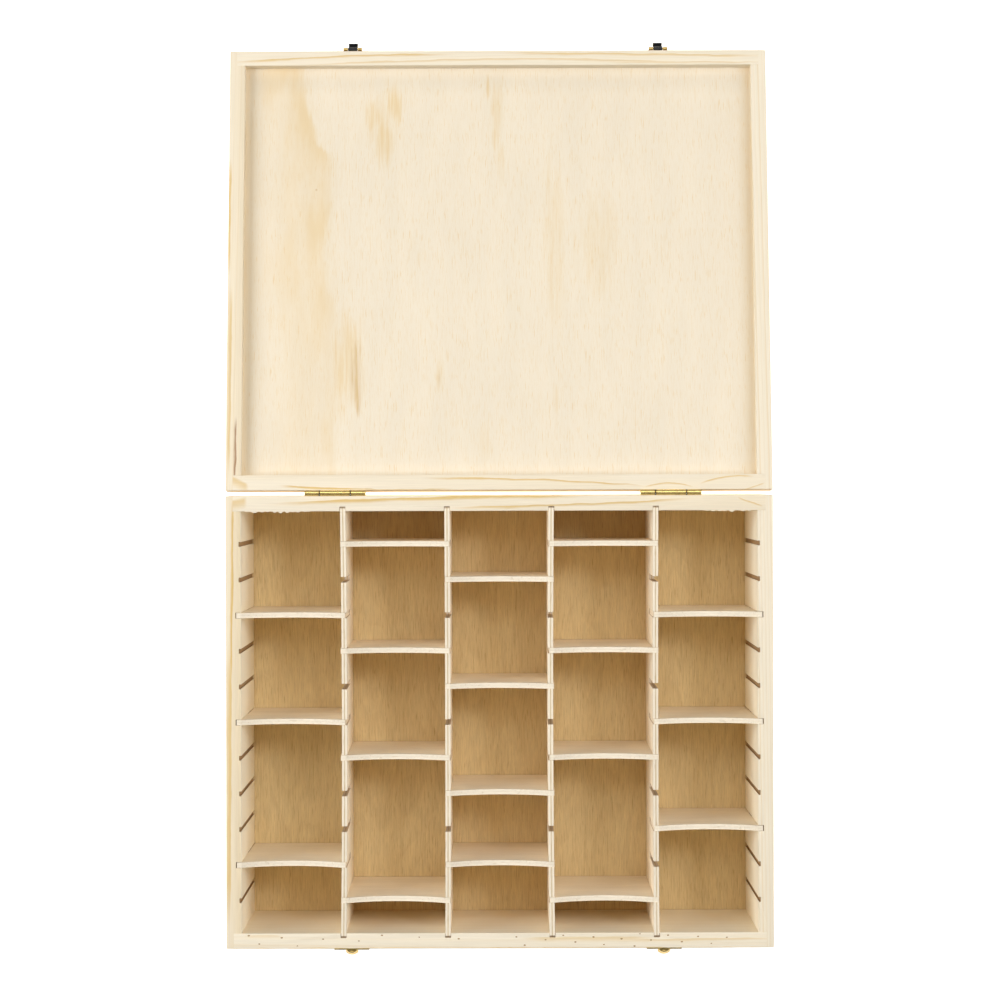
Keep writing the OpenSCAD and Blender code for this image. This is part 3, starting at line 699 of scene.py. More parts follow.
def divider_finish(name, core_share):
    """Divider plywood: pale outer plies, and a core that is darker where its edge shows."""
    finish, tree, shader = new_finish(name, specular=0.25)
    grain = grain_of_piece(tree)
    figure = grouped(tree, "ply_fibres", {"Grain": grain})
    depth = sums(tree, "ABSOLUTE", parts(tree, grain)[2])
    core = faded(tree, depth, PLY_T / 12, PLY_T / 6, core_share, 0.0)
    core = times(tree, core, faded(tree, noise(tree, grain, (0.12, 0.4, 0.8), 3.0), 0.3, 0.7, 0.7, 1.1))
    tint = mixed(tree, core, paint("ply_pale"), paint("ply_core"))
    tint = mixed(tree, times(tree, figure["Dash"], 0.2), tint, paint("floor_dark"))
    tint = toned(tree, tint, figure["Fibre"], 0.96, 1.04)
    tint = toned(tree, tint, figure["Fine"], 0.97, 1.03)
    tint = toned(tree, tint, figure["Cloud"], 0.96, 1.04)
    # Saw burn and painted shade in the slots, and painted shade along the foot
    tint = painted_seam_shade(tree, burnt_and_shaded(tree, tint, 0.55), 1.0)
    tree.links.new(tint, shader.inputs["Base Color"])
    tree.links.new(faded(tree, figure["Fibre"], 0.2, 0.8, 0.55, 0.72), shader.inputs["Roughness"])
    bumped(tree, shader, figure["Fibre"], 0.25, 0.08)
    return finish


def floor_finish():
    """Floor plywood: tan, with fine dark streaks from front to back and broad clouds."""
    finish, tree, shader = new_finish("floor_plywood", specular=0.25)
    figure = grouped(tree, "ply_fibres", {"Grain": panel_grain(tree)})
    cloud = faded(tree, figure["Cloud"], 0.4, 0.7, 0.0, 0.14)
    tint = mixed(tree, cloud, paint("floor_pale"), paint("floor_dark"))
    tint = mixed(tree, times(tree, figure["Figure"], 0.09), tint, paint("floor_dark"))
    tint = mixed(tree, faded(tree, figure["Fibre"], 0.5, 0.75, 0.0, 0.3), tint, paint("floor_dark"))
    tint = mixed(tree, times(tree, figure["Dash"], 0.55), tint, paint("floor_dark"))
    tint = toned(tree, tint, figure["Fine"], 0.88, 1.09)
    tree.links.new(tint, shader.inputs["Base Color"])
    tree.links.new(faded(tree, figure["Fibre"], 0.2, 0.8, 0.55, 0.72), shader.inputs["Roughness"])
    bumped(tree, shader, figure["Fibre"], 0.3, 0.1)
    return finish


# Painted shade on the lid's panel: where it starts and ends darkening towards its far rail, and how wide the tan
# painted shade along its sides is
LID_FAR_SHADE, LID_SIDE_SHADE = (420.0, 462.0), 11.0


def lid_finish():
    """Lid plywood: pale, with the lid's own tan figure and fine fibres from front to back, and painted shade
    towards its far rail and, tan, along its sides.
    """
    finish, tree, shader = new_finish("lid_plywood", specular=0.25)
    grain = panel_grain(tree)
    figure = grouped(tree, "ply_fibres", {"Grain": grain})
    marks = grouped(tree, "lid_figure", {"Grain": grain})
    tint = mixed(tree, times(tree, marks["Tan"], 0.9), paint("lid_pale"), paint("lid_tan"))
    tint = mixed(tree, times(tree, marks["Brown"], 0.85), tint, paint("lid_brown"))
    tint = mixed(tree, times(tree, figure["Dash"], 0.8), tint, paint("lid_tan"))
    tint = mixed(tree, faded(tree, figure["Fibre"], 0.45, 0.75, 0.0, 0.22), tint, paint("lid_tan"))
    tint = mixed(tree, faded(tree, figure["Fine"], 0.45, 0.75, 0.0, 0.22), tint, paint("lid_tan"))
    tint = toned(tree, tint, figure["Cloud"], 0.975, 1.015)
    along, across, _ = parts(tree, grain)
    inside = facing_up(tree)
    # Painted shade: darker towards the far rail, on the face that points up at rest
    tint = toned(tree, tint, times(tree, faded(tree, along, *LID_FAR_SHADE), inside), 1.0, 0.92)
    side = HALF_W - WALL_T
    # Painted shade, tinted tan, along the panel's sides on the face that points up at rest
    edge = faded(tree, sums(tree, "ABSOLUTE", across), side - LID_SIDE_SHADE, side, 0.0, 0.35)
    tint = mixed(tree, times(tree, edge, inside), tint, paint("lid_tan"))
    tree.links.new(tint, shader.inputs["Base Color"])
    tree.links.new(faded(tree, figure["Fibre"], 0.2, 0.8, 0.55, 0.7), shader.inputs["Roughness"])
    bumped(tree, shader, figure["Fibre"], 0.2, 0.06)
    return finish


def brass_finish(name, clean, dull, with_dark_reflection=False, joints=()):
    """Plated brass with fine scratches, and tarnish from clean to dull. A piece with a painted dark reflection
    is dark on the faces that point up at rest, and painted shade darkens it at its joints, planes across x given
    in millimetres."""
    finish, tree, shader = new_finish(name, roughness=0.3, specular=0.5)
    where = put(tree, "ShaderNodeTexCoord").outputs
    place = vectors(tree, "MULTIPLY", where["Object"], (1 / MM,) * 3)
    wear = grouped(tree, "brass_wear", {"Place": place})
    share = faded(tree, wear["Tarnish"], 0.0, 1.0, clean, dull)
    tint = mixed(tree, share, paint("brass"), paint("tarnish"))
    tint = mixed(tree, times(tree, wear["Scratch"], 0.35), tint, paint("tarnish"))
    rough = faded(tree, wear["Scratch"], 0.0, 1.0, 0.26, 0.4)
    x = parts(tree, place)[0]
    # Painted shade in the gaps between the knuckles
    for joint in joints:
        off = sums(tree, "ABSOLUTE", less(tree, x, joint))
        tint = mixed(tree, faded(tree, off, 0.25, 0.75, 0.85, 0.0), tint, paint("painted_gap_shade"))
    # Painted dark reflection: faces that point up at rest drawn black, not metallic and rougher
    if with_dark_reflection:
        facing = parts(tree, where["Normal"])[2]
        dark = faded(tree, facing, 0.3, 0.4)
        tint = mixed(tree, dark, tint, paint("backing"))
        tree.links.new(less(tree, 1.0, dark), shader.inputs["Metallic"])
        rough = sums(tree, "MULTIPLY_ADD", dark, 0.35, rough)
    else:
        shader.inputs["Metallic"].default_value = 1.0
    tree.links.new(tint, shader.inputs["Base Color"])
    tree.links.new(rough, shader.inputs["Roughness"])
    bumped(tree, shader, wear["Scratch"], 0.15, 0.02)
    return finish


def pin_finish():
    """Hinge pins: blackened steel, with worn spots by noise."""
    finish, tree, shader = new_finish("hinge_pin_steel", roughness=0.5, specular=0.3)
    place = put(tree, "ShaderNodeTexCoord").outputs["Object"]
    worn = faded(tree, noise(tree, place, (400.0, 900.0, 900.0), 3.0), 0.5, 0.8, 0.0, 0.5)
    tree.links.new(mixed(tree, worn, paint("pin_dark"), paint("tarnish")), shader.inputs["Base Color"])
    shader.inputs["Metallic"].default_value = 1.0
    bumped(tree, shader, worn, 0.2, 0.02)
    return finish


def mark_finish():
    """Pin marks: small brown specks, darker in their middle by noise."""
    finish, tree, shader = new_finish("pin_mark_brown", roughness=0.7, specular=0.2)
    place = put(tree, "ShaderNodeTexCoord").outputs["Object"]
    speck = noise(tree, place, (900.0, 900.0, 900.0), 2.0)
    tint = mixed(tree, speck, paint("scorch"), paint("floor_dark"))
    tree.links.new(tint, shader.inputs["Base Color"])
    bumped(tree, shader, speck, 0.2, 0.05)
    return finish


def stage_finish():
    """White table that gives off a little light, so that the shadows on it stay pale."""
    finish, tree, shader = new_finish("white_table", roughness=0.9, specular=0.1)
    place = put(tree, "ShaderNodeTexCoord").outputs["Object"]
    tint = toned(tree, (0.95, 0.95, 0.95, 1.0), noise(tree, place, (3.0, 3.0, 3.0)), 0.99, 1.0)
    tree.links.new(tint, shader.inputs["Base Color"])
    shader.inputs["Emission Color"].default_value = (1.0, 1.0, 1.0, 1.0)
    shader.inputs["Emission Strength"].default_value = bpy.context.scene.card_box_stage.glow
    return finish


def shared_groups():
    """Makes the node groups that the finishes share, once."""
    makers = {"pine_rings": make_pine_rings, "pine_line": make_pine_line, "ply_fibres": make_ply_fibres,
              "lid_figure": make_lid_figure, "brass_wear": make_brass_wear}
    for name, maker in makers.items():
        if name not in bpy.data.node_groups:
            maker()


# Frame boards

# Each board's place in its log: which way the pith lies across and up, how far, how the log tilts along the
# board, and where along the log the board was cut. Distances in millimetres, tilts as slopes.
LOGS = {
    "base_front_wall": ((-95.0, 20.0), (0.006, 0.012), 0.0),
    "base_back_wall": ((4.0, 46.0), (0.010, 0.007), 700.0),
    "base_left_wall": ((52.0, 80.0), (-0.014, 0.004), 1400.0),
    "base_right_wall": ((-60.0, 70.0), (0.012, 0.006), 2100.0),
    "lid_front_rail": ((70.0, 85.0), (0.022, 0.003), 2800.0),
    "lid_back_rail": ((6.0, 50.0), (0.012, 0.006), 3500.0),
    "lid_left_rail": ((64.0, 100.0), (0.011, 0.002), 4200.0),
    "lid_right_rail": ((-58.0, 95.0), (-0.012, 0.003), 4900.0),
}


def is_side(name):
    """Whether a board is a left or right one, which runs from front to back."""
    return "left" in name or "right" in name


def log_grain(name, points):
    """The grain vector of a board: distance along it, and its two distances from the pith, which slide
    evenly along the board as the log tilts."""
    pith, slopes, start = LOGS[name]
    along, across = (1, 0) if is_side(name) else (0, 1)
    middle = (points[..., across].min() + points[..., across].max()) / 2
    run = points[..., along]
    return np.stack([run + start, points[..., across] - middle - pith[0] + slopes[0] * run,
                     points[..., 2] - pith[1] + slopes[1] * run], axis=-1)


def cross_plan(sizes, notched):
    """Plan of the front board, anticlockwise: a bar, with a notch in its inner face for each column divider."""
    outer, cut = in_mm(sizes, "outer_ease"), in_mm(sizes, "cut_ease")
    end, face, notch = HALF_W - in_mm(sizes, "corner_lap"), -INNER_Y, -INNER_Y - in_mm(sizes, "notch_depth")
    half = PLY_T / 2 + 0.05
    corners = [(-end, -HALF_D), (end, -HALF_D), (end, face)]
    ease, depth = [0.0] * 3, [outer, 0.0, cut]
    for x in COLUMN_X[::-1] if notched else ():
        corners += [(x + half, face), (x + half, notch), (x - half, notch), (x - half, face)]
        ease += [1.1 * cut, cut / 2, cut / 2, 1.1 * cut]
        depth += [cut] * 4
    corners.append((-end, face))
    return eased_outline(corners, np.array(ease + [0.0]), depth + [0.0])


def wall_grooves(sizes, name):
    """Place, half width and depth of each groove of a side wall, drawn as the left one: full size where a
    divider stands in it, and smaller where it stands empty."""
    column, turn = (1, 1) if "left" in name else (5, -1)
    held = [sum(node_box(node))[1] / 2 for node in CROSS_NODES if f"_c{column}_" in node]
    full = PLY_T / 2 + in_mm(sizes, "slot_play"), in_mm(sizes, "groove_depth")
    bare = in_mm(sizes, "bare_width") / 2, in_mm(sizes, "bare_depth")
    return [(turn * y, *(full if np.min(np.abs(y - held)) < PLY_T else bare)) for y in SLOT_Y[::turn]]


def side_plan(sizes, grooves):
    """Plan of the left board, anticlockwise: a bar with thin tongues at its ends, and its grooves."""
    outer, cut = in_mm(sizes, "outer_ease"), in_mm(sizes, "cut_ease")
    lap, face = -HALF_W + in_mm(sizes, "corner_lap"), -HALF_W + WALL_T
    corners = [(-HALF_W, HALF_D), (-HALF_W, -HALF_D), (lap, -HALF_D), (lap, -INNER_Y), (face, -INNER_Y)]
    ease, depth = [1.1 * outer, 1.1 * outer, 0.0, 0.0, 0.0], [outer, outer, 0.0, 0.0, cut]
    for y, half, groove in grooves:
        corners += [(face, y - half), (face - groove, y - half), (face - groove, y + half), (face, y + half)]
        ease += [1.1 * cut, cut / 2, cut / 2, 1.1 * cut]
        depth += [cut] * 4
    corners += [(face, INNER_Y), (lap, INNER_Y), (lap, HALF_D)]
    return eased_outline(corners, np.array(ease + [0.0] * 3), depth + [0.0, 0.0, outer])


def board(sizes, name, plan, low, high, pocket, pocket_low, turned):
    """Frame board: its plan carried upwards. Between pocket and the pocket's end of the board, the plan is
    cut off at the pocket's wall. A turned board is the same board turned half round the box's middle."""
    points, depths = plan
    stations, shares = eased_run(low, high, in_mm(sizes, "outer_ease"))
    rings = carried(points, depths, stations, shares, (0, 1, 2))
    across = 0 if is_side(name) else 1
    outside = -HALF_W if across == 0 else -HALF_D
    limit = outside + WALL_T - in_mm(sizes, "panel_lap")
    split = int(np.searchsorted(stations, pocket))
    level = carried(points, depths, np.array([pocket]), np.array([0.0]), (0, 1, 2))
    thin = level.copy()
    thin[..., across] = np.minimum(thin[..., across], limit)
    below, above = rings[:split], rings[split:]
    cut_off = below if pocket_low else above
    cut_off[..., across] = np.minimum(cut_off[..., across], limit)
    rings = np.concatenate([below, thin, level, above] if pocket_low else [below, level, thin, above])
    if turned:
        rings[..., :2] *= -1
    count, each = rings.shape[:2]
    faces = tube_faces(count, each)
    step = split * each
    flat = [*range(step, step + each), len(faces) - 2, len(faces) - 1]
    depth, along = points[:, across] - outside, np.abs(points[:, 1 - across])
    cut = (depth > 0.5) & (depth < WALL_T - 0.3) & (along < along.max() - WALL_T - 1)
    return rings.reshape(-1, 3), faces, log_grain(name, rings).reshape(-1, 3), flat, burn_and_shade_rings(cut, count)


def burn_and_shade_rings(cut, count):
    """Saw burn and painted shade of a carried outline: 1 at the points that are cut, on every ring but the two
    at its ends.
    """
    scorch = np.tile(cut.astype(float), (count, 1))
    scorch[[0, -1]] = 0.0
    return scorch


BASE_BOARDS = [name for name in LOGS if name.startswith("base")]
LID_BOARDS = [name for name in LOGS if name.startswith("lid")]


class CARDBOX_OT_walls(bpy.types.Operator):
    """Builds the four pine walls of the base, with their grooves, notches and lapped corners"""

    bl_idname = "card_box.walls"
    bl_label = "Pine walls"

    def execute(self, context):
        shared_groups()
        sizes = context.scene.card_box_sizes
        for name in BASE_BOARDS:
            plan = side_plan(sizes, wall_grooves(sizes, name)) if is_side(name) else cross_plan(sizes, True)
            points, faces, grain, flat, scorch = board(sizes, name, plan, 0.0, RIM_Z, FLOOR_Z, True,
                                                       "right" in name or "back" in name)
            piece = new_piece(f"pine_{name}", points, faces, grain, flat, pine_finish(name), scorch)
            stands_for(piece, name, "base")
        return {"FINISHED"}


class CARDBOX_OT_lid_rails(bpy.types.Operator):
    """Builds the four pine rails of the lid and swings them open"""

    bl_idname = "card_box.lid_rails"
    bl_label = "Lid rails"

    def execute(self, context):
        shared_groups()
        sizes = context.scene.card_box_sizes
        low = in_mm(sizes, "lid_rim_z")
        high, pocket = low + in_mm(sizes, "lid_height"), low + in_mm(sizes, "lid_recess")
        for name in LID_BOARDS:
            plan = side_plan(sizes, ()) if is_side(name) else cross_plan(sizes, False)
            points, faces, grain, flat, _ = board(sizes, name, plan, low, high, pocket, False,
                                                  "right" in name or "back" in name)
            piece = new_piece(f"pine_{name}", swung_open(points), faces, grain, flat, pine_finish(name))
            stands_for(piece, name, "lid")
        return {"FINISHED"}


# Plywood


class CARDBOX_OT_panels(bpy.types.Operator):
    """Gives the floor and lid panels their plywood"""

    bl_idname = "card_box.panels"
    bl_label = "Plywood panels"

    def execute(self, context):
        shared_groups()
        dress("floor_panel", floor_finish())
        dress("lid_panel", lid_finish())
        return {"FINISHED"}


def sheet_piece(sizes, name, outline, axes, middle, finish, start, cut=None, bow=0.0):
    """Plywood piece: its outline carried through the sheet's thickness. The grain vector is distance along
    the outline's long axis, along its other axis and from the middle of the thickness. A bow pushes the sheet
    aside by (1 - s^2) h, where s goes from -1 to 1 along it and h from 0 to 1 up it."""
    points, depths = outline
    stations, shares = eased_run(middle - PLY_T / 2, middle + PLY_T / 2, in_mm(sizes, "cut_ease"))
    rings = carried(points, depths, stations, shares, axes)
    count, each = rings.shape[:2]
    faces = tube_faces(count, each)
    long_axis, other = (1, 2) if axes[2] == 0 else (0, 2)
    grain = np.stack([rings[..., long_axis] + start, rings[..., other], rings[..., axes[2]] - middle],
                     axis=-1)
    flat = [len(faces) - 2, len(faces) - 1]
    share, rise = rings[..., long_axis] / HALF_D, (rings[..., other] - FLOOR_Z) / (RIM_Z - FLOOR_Z)
    rings[..., axes[2]] += bow * (1 - share ** 2) * rise
    scorch = None if cut is None else burn_and_shade_rings(cut, count)
    return new_piece(name, rings.reshape(-1, 3), faces, grain.reshape(-1, 3), flat, finish, scorch)


def comb_outline(sizes):
    """Column divider from the side, in y and z, anticlockwise: a long board with chamfered upper ends, and a
    slot from its top edge for each cross divider. Also says which of its points lie in a cut."""
    ease, chamfer = in_mm(sizes, "cut_ease"), in_mm(sizes, "end_chamfer")
    half, bottom = PLY_T / 2 + in_mm(sizes, "slot_play"), RIM_Z - in_mm(sizes, "slot_depth")
    end = INNER_Y + in_mm(sizes, "notch_depth") - 0.05
    corners = [(-end, FLOOR_Z), (end, FLOOR_Z), (end, RIM_Z - chamfer), (end - chamfer, RIM_Z)]
    for y in SLOT_Y[::-1]:
        corners += [(y + half, RIM_Z), (y + half, bottom), (y - half, bottom), (y - half, RIM_Z)]
    corners += [(chamfer - end, RIM_Z), (-end, RIM_Z - chamfer)]
    outline = eased_outline(corners, 1.1 * ease, ease)
    y, z = np.abs(outline[0][:, 0]), outline[0][:, 1]
    return outline, (z > bottom - ease) & (z < RIM_Z - ease) & (y < INNER_Y) | (y > end - chamfer + ease)


# Length and height of a cross divider's ears, and how much narrower its foot is on each side
EAR_LENGTH, EAR_HEIGHT, FOOT_PLAY = 3.3, 43.1, 0.4


def scooped_outline(sizes, node):
    """Cross divider from the front, in z and x, anticlockwise: ears at the top, a narrower foot, and a top
    edge that dips in an arc of a circle through the two inner ends of the ears."""
    ease = in_mm(sizes, "cut_ease")
    (x0, _, z0), (x1, _, z1) = node_box(node)
    middle = (x0 + x1) / 2
    dip = in_mm(sizes, "scoop_dip")
    chord = (x1 - x0) / 2 - EAR_LENGTH
    foot = chord - FOOT_PLAY
    ear_z = z1 - EAR_HEIGHT
    x0 += in_mm(sizes, "ear_trim") * ("_c1_" in node)
    x1 -= in_mm(sizes, "ear_trim") * ("_c5_" in node)
    radius = (chord ** 2 + dip ** 2) / (2 * dip)
    turn = math.asin(chord / radius) * np.linspace(-1, 1, 49)
    arc = np.stack([z1 - dip + radius * (1 - np.cos(turn)), middle + radius * np.sin(turn)], axis=1)
    body = np.array([(z1, x1), (ear_z, x1), (ear_z, middle + foot), (z0, middle + foot), (z0, middle - foot),
                     (ear_z, middle - foot), (ear_z, x0), (z1, x0)])
    corners = np.concatenate([arc, body])[::-1]
    rounding = np.full(len(corners), 1.1 * ease)
    rounding[len(body) + 1:-1] = 0.0
    return eased_outline(corners, rounding, ease)


# How far each column divider's top edge bows to the right at its middle, in millimetres
COLUMN_BOWS = (1.1, 0.3, -0.9, -0.5)


class CARDBOX_OT_column_dividers(bpy.types.Operator):
    """Builds the four slotted column dividers"""

    bl_idname = "card_box.column_dividers"
    bl_label = "Column dividers"

    def execute(self, context):
        shared_groups()
        sizes = context.scene.card_box_sizes
        finish = divider_finish("divider_plywood_cored", 0.75)
        outline, cut = comb_outline(sizes)
        for number, (node, x, bow) in enumerate(zip(COLUMN_NODES, COLUMN_X, COLUMN_BOWS)):
            piece = sheet_piece(sizes, f"plywood_{node}", outline, (1, 2, 0), x, finish, 900.0 * number,
                                cut, bow)
            stands_for(piece, node, "base")
        return {"FINISHED"}


class CARDBOX_OT_cross_dividers(bpy.types.Operator):
    """Builds the loose cross dividers with their ears and scoops"""

    bl_idname = "card_box.cross_dividers"
    bl_label = "Cross dividers"

    def execute(self, context):
        shared_groups()
        sizes = context.scene.card_box_sizes
        finish = divider_finish("divider_plywood_pale", 0.1)
        for number, node in enumerate(CROSS_NODES):
            low, high = node_box(node)
            outline = scooped_outline(sizes, node)
            piece = sheet_piece(sizes, f"plywood_{node}", outline, (2, 0, 1), (low[1] + high[1]) / 2, finish,
                                5000.0 + 700.0 * number)
            stands_for(piece, node, node)
        return {"FINISHED"}


# Brass


# Half length of a hinge's middle knuckle
KNUCKLE_HALF = 10.6


class CARDBOX_OT_hinges(bpy.types.Operator):
    """Gives the hinges their brass"""

    bl_idname = "card_box.hinges"
    bl_label = "Hinges"

    def execute(self, context):
        shared_groups()
        pin = pin_finish()
        for side in ("left", "right"):
            middle = sum(node_box(f"hinge_base_leaf_{side}"))[0] / 2
            joints = middle - KNUCKLE_HALF, middle + KNUCKLE_HALF
            leaf = brass_finish(f"hinge_brass_{side}", 0.0, 0.5, joints=joints)
            dress(f"hinge_base_leaf_{side}", leaf)
            dress(f"hinge_lid_leaf_{side}", leaf)
            dress(f"hinge_pin_{side}", pin)
        return {"FINISHED"}


# The nose of a catch: radius and lean of its inner face, how far its centre lies behind the wall's face, its
# height and its drop below the rim, and half the width that its pocket fills
NOSE_RADIUS, NOSE_LEAN, NOSE_BACK, NOSE_HEIGHT, NOSE_DROP, POCKET_HALF = 5.2, 1.9, 1.0, 3.0, 4.7, 3.0

POCKET_STATIONS = 25


def catch_pocket(node):
    """Web inside a catch's nose: a profile carried along x, whose front follows the nose's inner cone, at
    sqrt(r^2 - x^2) from its axis, and whose top falls back to the plate. Returns points and faces."""
    x = np.linspace(-POCKET_HALF, POCKET_HALF, POCKET_STATIONS)[:, None]
    rise = np.array([0.3, 0.3, 2.75, 2.0, 1.2])
    radius = NOSE_RADIUS - NOSE_LEAN * rise / NOSE_HEIGHT
    front = np.sqrt(np.maximum(radius ** 2 - x ** 2, 0.0)) - NOSE_BACK + 0.2
    out = np.where(np.array([0, 1, 1, 0, 0]) == 1, np.maximum(front, 0.6), np.array([0.4, 0, 0, 1.1, 0.4]))
    middle = sum(node_box(node))[0] / 2
    z = np.broadcast_to(RIM_Z - NOSE_DROP + rise, out.shape)
    rings = np.stack([np.broadcast_to(middle + x, out.shape), -HALF_D - out, z], axis=-1)
    return rings.reshape(-1, 3), tube_faces(POCKET_STATIONS, len(rise))


def pocket_finish():
    """Inside of a catch's nose: dull brass at its front, and painted shade by the wall."""
    finish, tree, shader = new_finish("catch_pocket_brass", roughness=0.45, specular=0.3)
    place = object_mm(tree)
    wear = grouped(tree, "brass_wear", {"Place": place})
    out = parts(tree, place)[1]
    tint = mixed(tree, wear["Tarnish"], paint("brass"), paint("tarnish"))
    # Painted shade by the wall, inside the nose
    tint = mixed(tree, faded(tree, out, -HALF_D - 2.0, -HALF_D - 1.3), tint, paint("painted_gap_shade"))
    tree.links.new(tint, shader.inputs["Base Color"])
    shader.inputs["Metallic"].default_value = 1.0
    bumped(tree, shader, wear["Scratch"], 0.15, 0.02)
    return finish


class CARDBOX_OT_latches(bpy.types.Operator):
    """Gives the latches their brass, the flaps their painted dark reflection and the catches their pockets"""

    bl_idname = "card_box.latches"
    bl_label = "Latches"

    def execute(self, context):
        shared_groups()
        plate, flap = brass_finish("latch_brass", 0.4, 1.0), brass_finish("latch_flap_brass", 0.0, 0.5, True)
        for side in ("left", "right"):
            for node in ("latch_catch", "latch_plate", "latch_pin"):
                dress(f"{node}_{side}", plate)
            dress(f"latch_flap_{side}", flap)
            points, faces = catch_pocket(f"latch_catch_{side}")
            piece = new_piece(f"catch_pocket_{side}", points, faces, finish=pocket_finish())
            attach(piece, "base")
        return {"FINISHED"}


class CARDBOX_OT_screws(bpy.types.Operator):
    """Gives the screws their brass"""

    bl_idname = "card_box.screws"
    bl_label = "Screws"

    def execute(self, context):
        shared_groups()
        finish = brass_finish("screw_brass", 0.2, 0.9)
        for node in ("hinge_base_screws", "hinge_lid_screws", "latch_catch_screws", "latch_plate_screws"):
            dress(node, finish)
        return {"FINISHED"}


# Marks of the making

# Places of the pin marks on the front wall's rim, x and y in millimetres
PIN_MARKS = np.array((
    (-172.2, -145.9), (-165.0, -151.6), (-149.6, -147.4), (-138.9, -153.0), (-121.3, -148.4), (-96.8, -149.7),
    (-81.0, -145.9), (-55.5, -147.2), (-28.5, -148.4), (11.0, -147.2), (16.7, -152.9), (31.0, -149.2),
    (43.1, -146.2), (51.4, -150.8), (63.8, -147.4), (70.9, -152.6), (83.0, -148.7), (91.9, -153.7),
    (95.6, -145.3), (103.2, -149.6), (114.8, -146.3), (124.3, -150.8), (135.4, -147.2), (144.5, -152.0),
    (155.1, -147.9)))

MARK_RINGS, MARK_POINTS = 4, 12


class CARDBOX_OT_pin_marks(bpy.types.Operator):
    """Puts small brown pin marks on the front wall's rim"""

    bl_idname = "card_box.pin_marks"
    bl_label = "Pin marks"

    def execute(self, context):
        # Each mark is a low lens: height falls with the square of the distance from its middle
        draw = np.random.default_rng(context.scene.card_box_stage.seed)
        count = len(PIN_MARKS)
        x, y = PIN_MARKS.T
        size = draw.uniform(0.5, 0.8, count)
        ring = np.linspace(1.0, 0.15, MARK_RINGS)
        point = np.linspace(0, 2 * math.pi, MARK_POINTS, endpoint=False)
        flat = ring[None, :, None] * size[:, None, None]
        around = np.stack(np.broadcast_arrays(x[:, None, None] + 1.3 * flat * np.cos(point),
                                              y[:, None, None] + 0.8 * flat * np.sin(point),
                                              RIM_Z - 0.02 + 0.06 * (1 - ring[None, :, None] ** 2)), axis=-1)
        faces = [face for mark in range(count)
                 for face in tube_faces(MARK_RINGS, MARK_POINTS, mark * MARK_RINGS * MARK_POINTS)]
        piece = new_piece("rim_pin_marks", around.reshape(-1, 3), faces, finish=mark_finish())
        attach(piece, "base")
        return {"FINISHED"}


# Where fibres are torn along the back wall, how many points each stretch has, and how many waves make its edge
TORN_STRETCHES = ((-174.0, -129.0), (140.0, 172.0))
TORN_POINTS, TORN_WAVES = 150, 9


class CARDBOX_OT_torn_fibres(bpy.types.Operator):
    """Leaves torn fibres on the back wall's inner edge, near its ends"""

    bl_idname = "card_box.torn_fibres"
    bl_label = "Torn fibres"

    def execute(self, context):
        # A thin wedge carried along the edge: its reach into the box is a sum of sines with drawn phases
        draw = np.random.default_rng(context.scene.card_box_stage.seed)
        finish = bpy.data.materials["pine_base_back_wall"]
        for number, (start, end) in enumerate(TORN_STRETCHES):
            x = np.linspace(start, end, TORN_POINTS)
            limits = (0.15, 1.6), (0, 2 * math.pi), (0.2, 0.6)
            pitch, phase, size = (draw.uniform(*limit, (TORN_WAVES, 1)) for limit in limits)
            reach = (size * np.sin(pitch * x + phase)).sum(axis=0)
            taper = np.sin(np.linspace(0.05, math.pi - 0.05, TORN_POINTS)) ** 0.4
            reach = np.clip(0.45 + 0.45 * reach, 0.05, 1.5) * taper
            root = np.full_like(x, INNER_Y + 0.4)
            y = np.stack([root, INNER_Y - reach, INNER_Y - reach, root], axis=1)
            z = RIM_Z - np.stack([np.full_like(x, 0.06), 0.08 + 0.1 * reach, 0.2 + 0.12 * reach,
                                  np.full_like(x, 1.0)], axis=1)
            rings = np.stack([np.repeat(x[:, None], 4, axis=1), y, z], axis=-1)
            faces = tube_faces(TORN_POINTS, 4)
            piece = new_piece(f"torn_fibres_{number + 1}", rings.reshape(-1, 3), faces,
                              log_grain("base_back_wall", rings).reshape(-1, 3), (), finish)
            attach(piece, "base")
        return {"FINISHED"}


# Stage

CAMERA_PLACE = (0.0, 0.1665, 1.695)
CAMERA_LENS, CAMERA_SENSOR = 84.4, 36.0
CAMERA_SHIFT = (0.001, -0.0213)
CAMERA_ROLL = -0.0028
# Place and width of each light
LIGHTS = {
    "key": ((1.39, 0.76, 2.57), 0.5),
    "right": ((1.8, 0.2, 1.3), 1.4),
    "left": ((-1.77, 0.2, 1.38), 1.4),
    "back": ((0.0, 1.2, 2.3), 1.2),
}
LIGHT_AIM = (0.0, 0.1, 0.05)
TABLE_HALF = 4.0


def add_light(name, place, width, power):
    """Square area light that faces the box."""
    light = bpy.data.lights.new(name, "AREA")
    light.shape, light.size, light.energy = "SQUARE", width, power
    lamp = bpy.data.objects.new(name, light)
    bpy.context.scene.collection.objects.link(lamp)
    lamp.location = place
    lamp.visible_camera = False
    aim = Vector(LIGHT_AIM) - Vector(place)
    lamp.rotation_euler = aim.to_track_quat("-Z", "Y").to_euler()


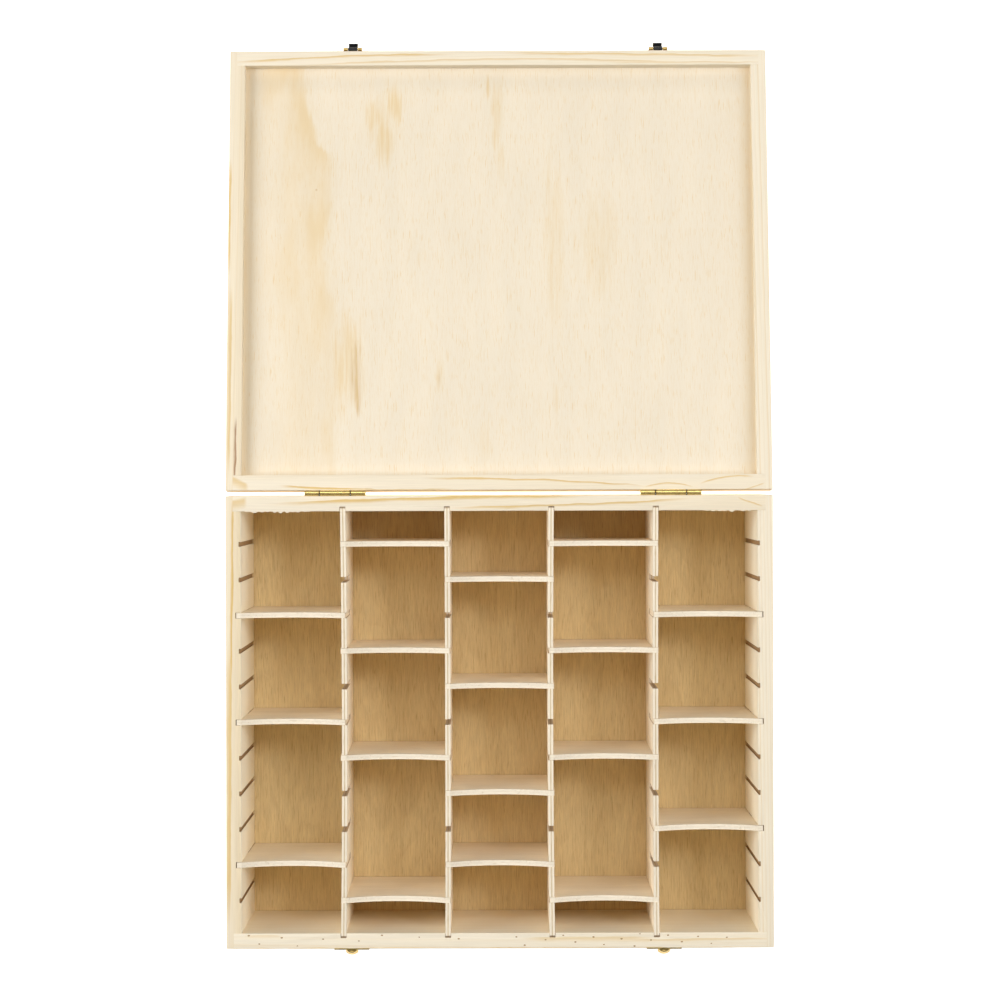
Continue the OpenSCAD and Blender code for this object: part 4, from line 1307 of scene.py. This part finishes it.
class CARDBOX_OT_stage(bpy.types.Operator):
    """Sets the white table, the lights and the camera straight above the box"""

    bl_idname = "card_box.stage"
    bl_label = "Stage"

    def execute(self, context):
        scene, stage = context.scene, context.scene.card_box_stage
        corners = np.array([(-1, -1, 0), (1, -1, 0), (1, 1, 0), (-1, 1, 0)]) * TABLE_HALF / MM
        new_piece("table", corners, [[0, 1, 2, 3]], flat=[0], finish=stage_finish())
        world = bpy.data.worlds.new("white_surround")
        world.use_nodes = True
        tree = world.node_tree
        path = put(tree, "ShaderNodeLightPath").outputs
        strength = sums(tree, "MULTIPLY_ADD", path["Is Glossy Ray"], stage.sky, path["Is Camera Ray"])
        background = tree.nodes["Background"].inputs
        background["Color"].default_value = (1.0, 1.0, 1.0, 1.0)
        tree.links.new(strength, background["Strength"])
        scene.world = world
        for name, (place, width) in LIGHTS.items():
            add_light(f"{name}_light", place, width, getattr(stage, name))
        lens = bpy.data.cameras.new("camera")
        lens.lens, lens.sensor_width = CAMERA_LENS, CAMERA_SENSOR
        lens.shift_x, lens.shift_y = CAMERA_SHIFT
        camera = bpy.data.objects.new("camera", lens)
        scene.collection.objects.link(camera)
        camera.location = CAMERA_PLACE
        camera.rotation_euler = (0.0, 0.0, CAMERA_ROLL)
        scene.camera = camera
        scene.view_settings.view_transform = "Standard"
        scene.cycles.diffuse_bounces, scene.cycles.max_bounces = 12, 16
        return {"FINISHED"}


# Add-on

STEPS = (CARDBOX_OT_walls, CARDBOX_OT_lid_rails, CARDBOX_OT_panels, CARDBOX_OT_column_dividers,
         CARDBOX_OT_cross_dividers, CARDBOX_OT_hinges, CARDBOX_OT_latches, CARDBOX_OT_screws,
         CARDBOX_OT_pin_marks, CARDBOX_OT_torn_fibres, CARDBOX_OT_stage)


class CARDBOX_PT_steps(bpy.types.Panel):
    """Lists the pieces in the order in which they are made"""

    bl_label = "Card box"
    bl_idname = "CARDBOX_PT_steps"
    bl_space_type = "VIEW_3D"
    bl_region_type = "UI"
    bl_category = "Card box"

    def draw(self, context):
        for step in STEPS:
            self.layout.operator(step.bl_idname)
        scene = context.scene
        for group in (scene.card_box_sizes, scene.card_box_colours, scene.card_box_stage):
            for name in group.__annotations__:
                self.layout.prop(group, name)


CLASSES = (CardBoxSizes, CardBoxColours, CardBoxStage, *STEPS, CARDBOX_PT_steps)


def register():
    for item in CLASSES:
        bpy.utils.register_class(item)
    bpy.types.Scene.card_box_sizes = PointerProperty(type=CardBoxSizes)
    bpy.types.Scene.card_box_colours = PointerProperty(type=CardBoxColours)
    bpy.types.Scene.card_box_stage = PointerProperty(type=CardBoxStage)


def unregister():
    del bpy.types.Scene.card_box_stage
    del bpy.types.Scene.card_box_colours
    del bpy.types.Scene.card_box_sizes
    for item in reversed(CLASSES):
        bpy.utils.unregister_class(item)


def main():
    register()
    for step in STEPS:
        family, name = step.bl_idname.split(".")
        getattr(getattr(bpy.ops, family), name)()


if __name__ == "__main__":
    main()
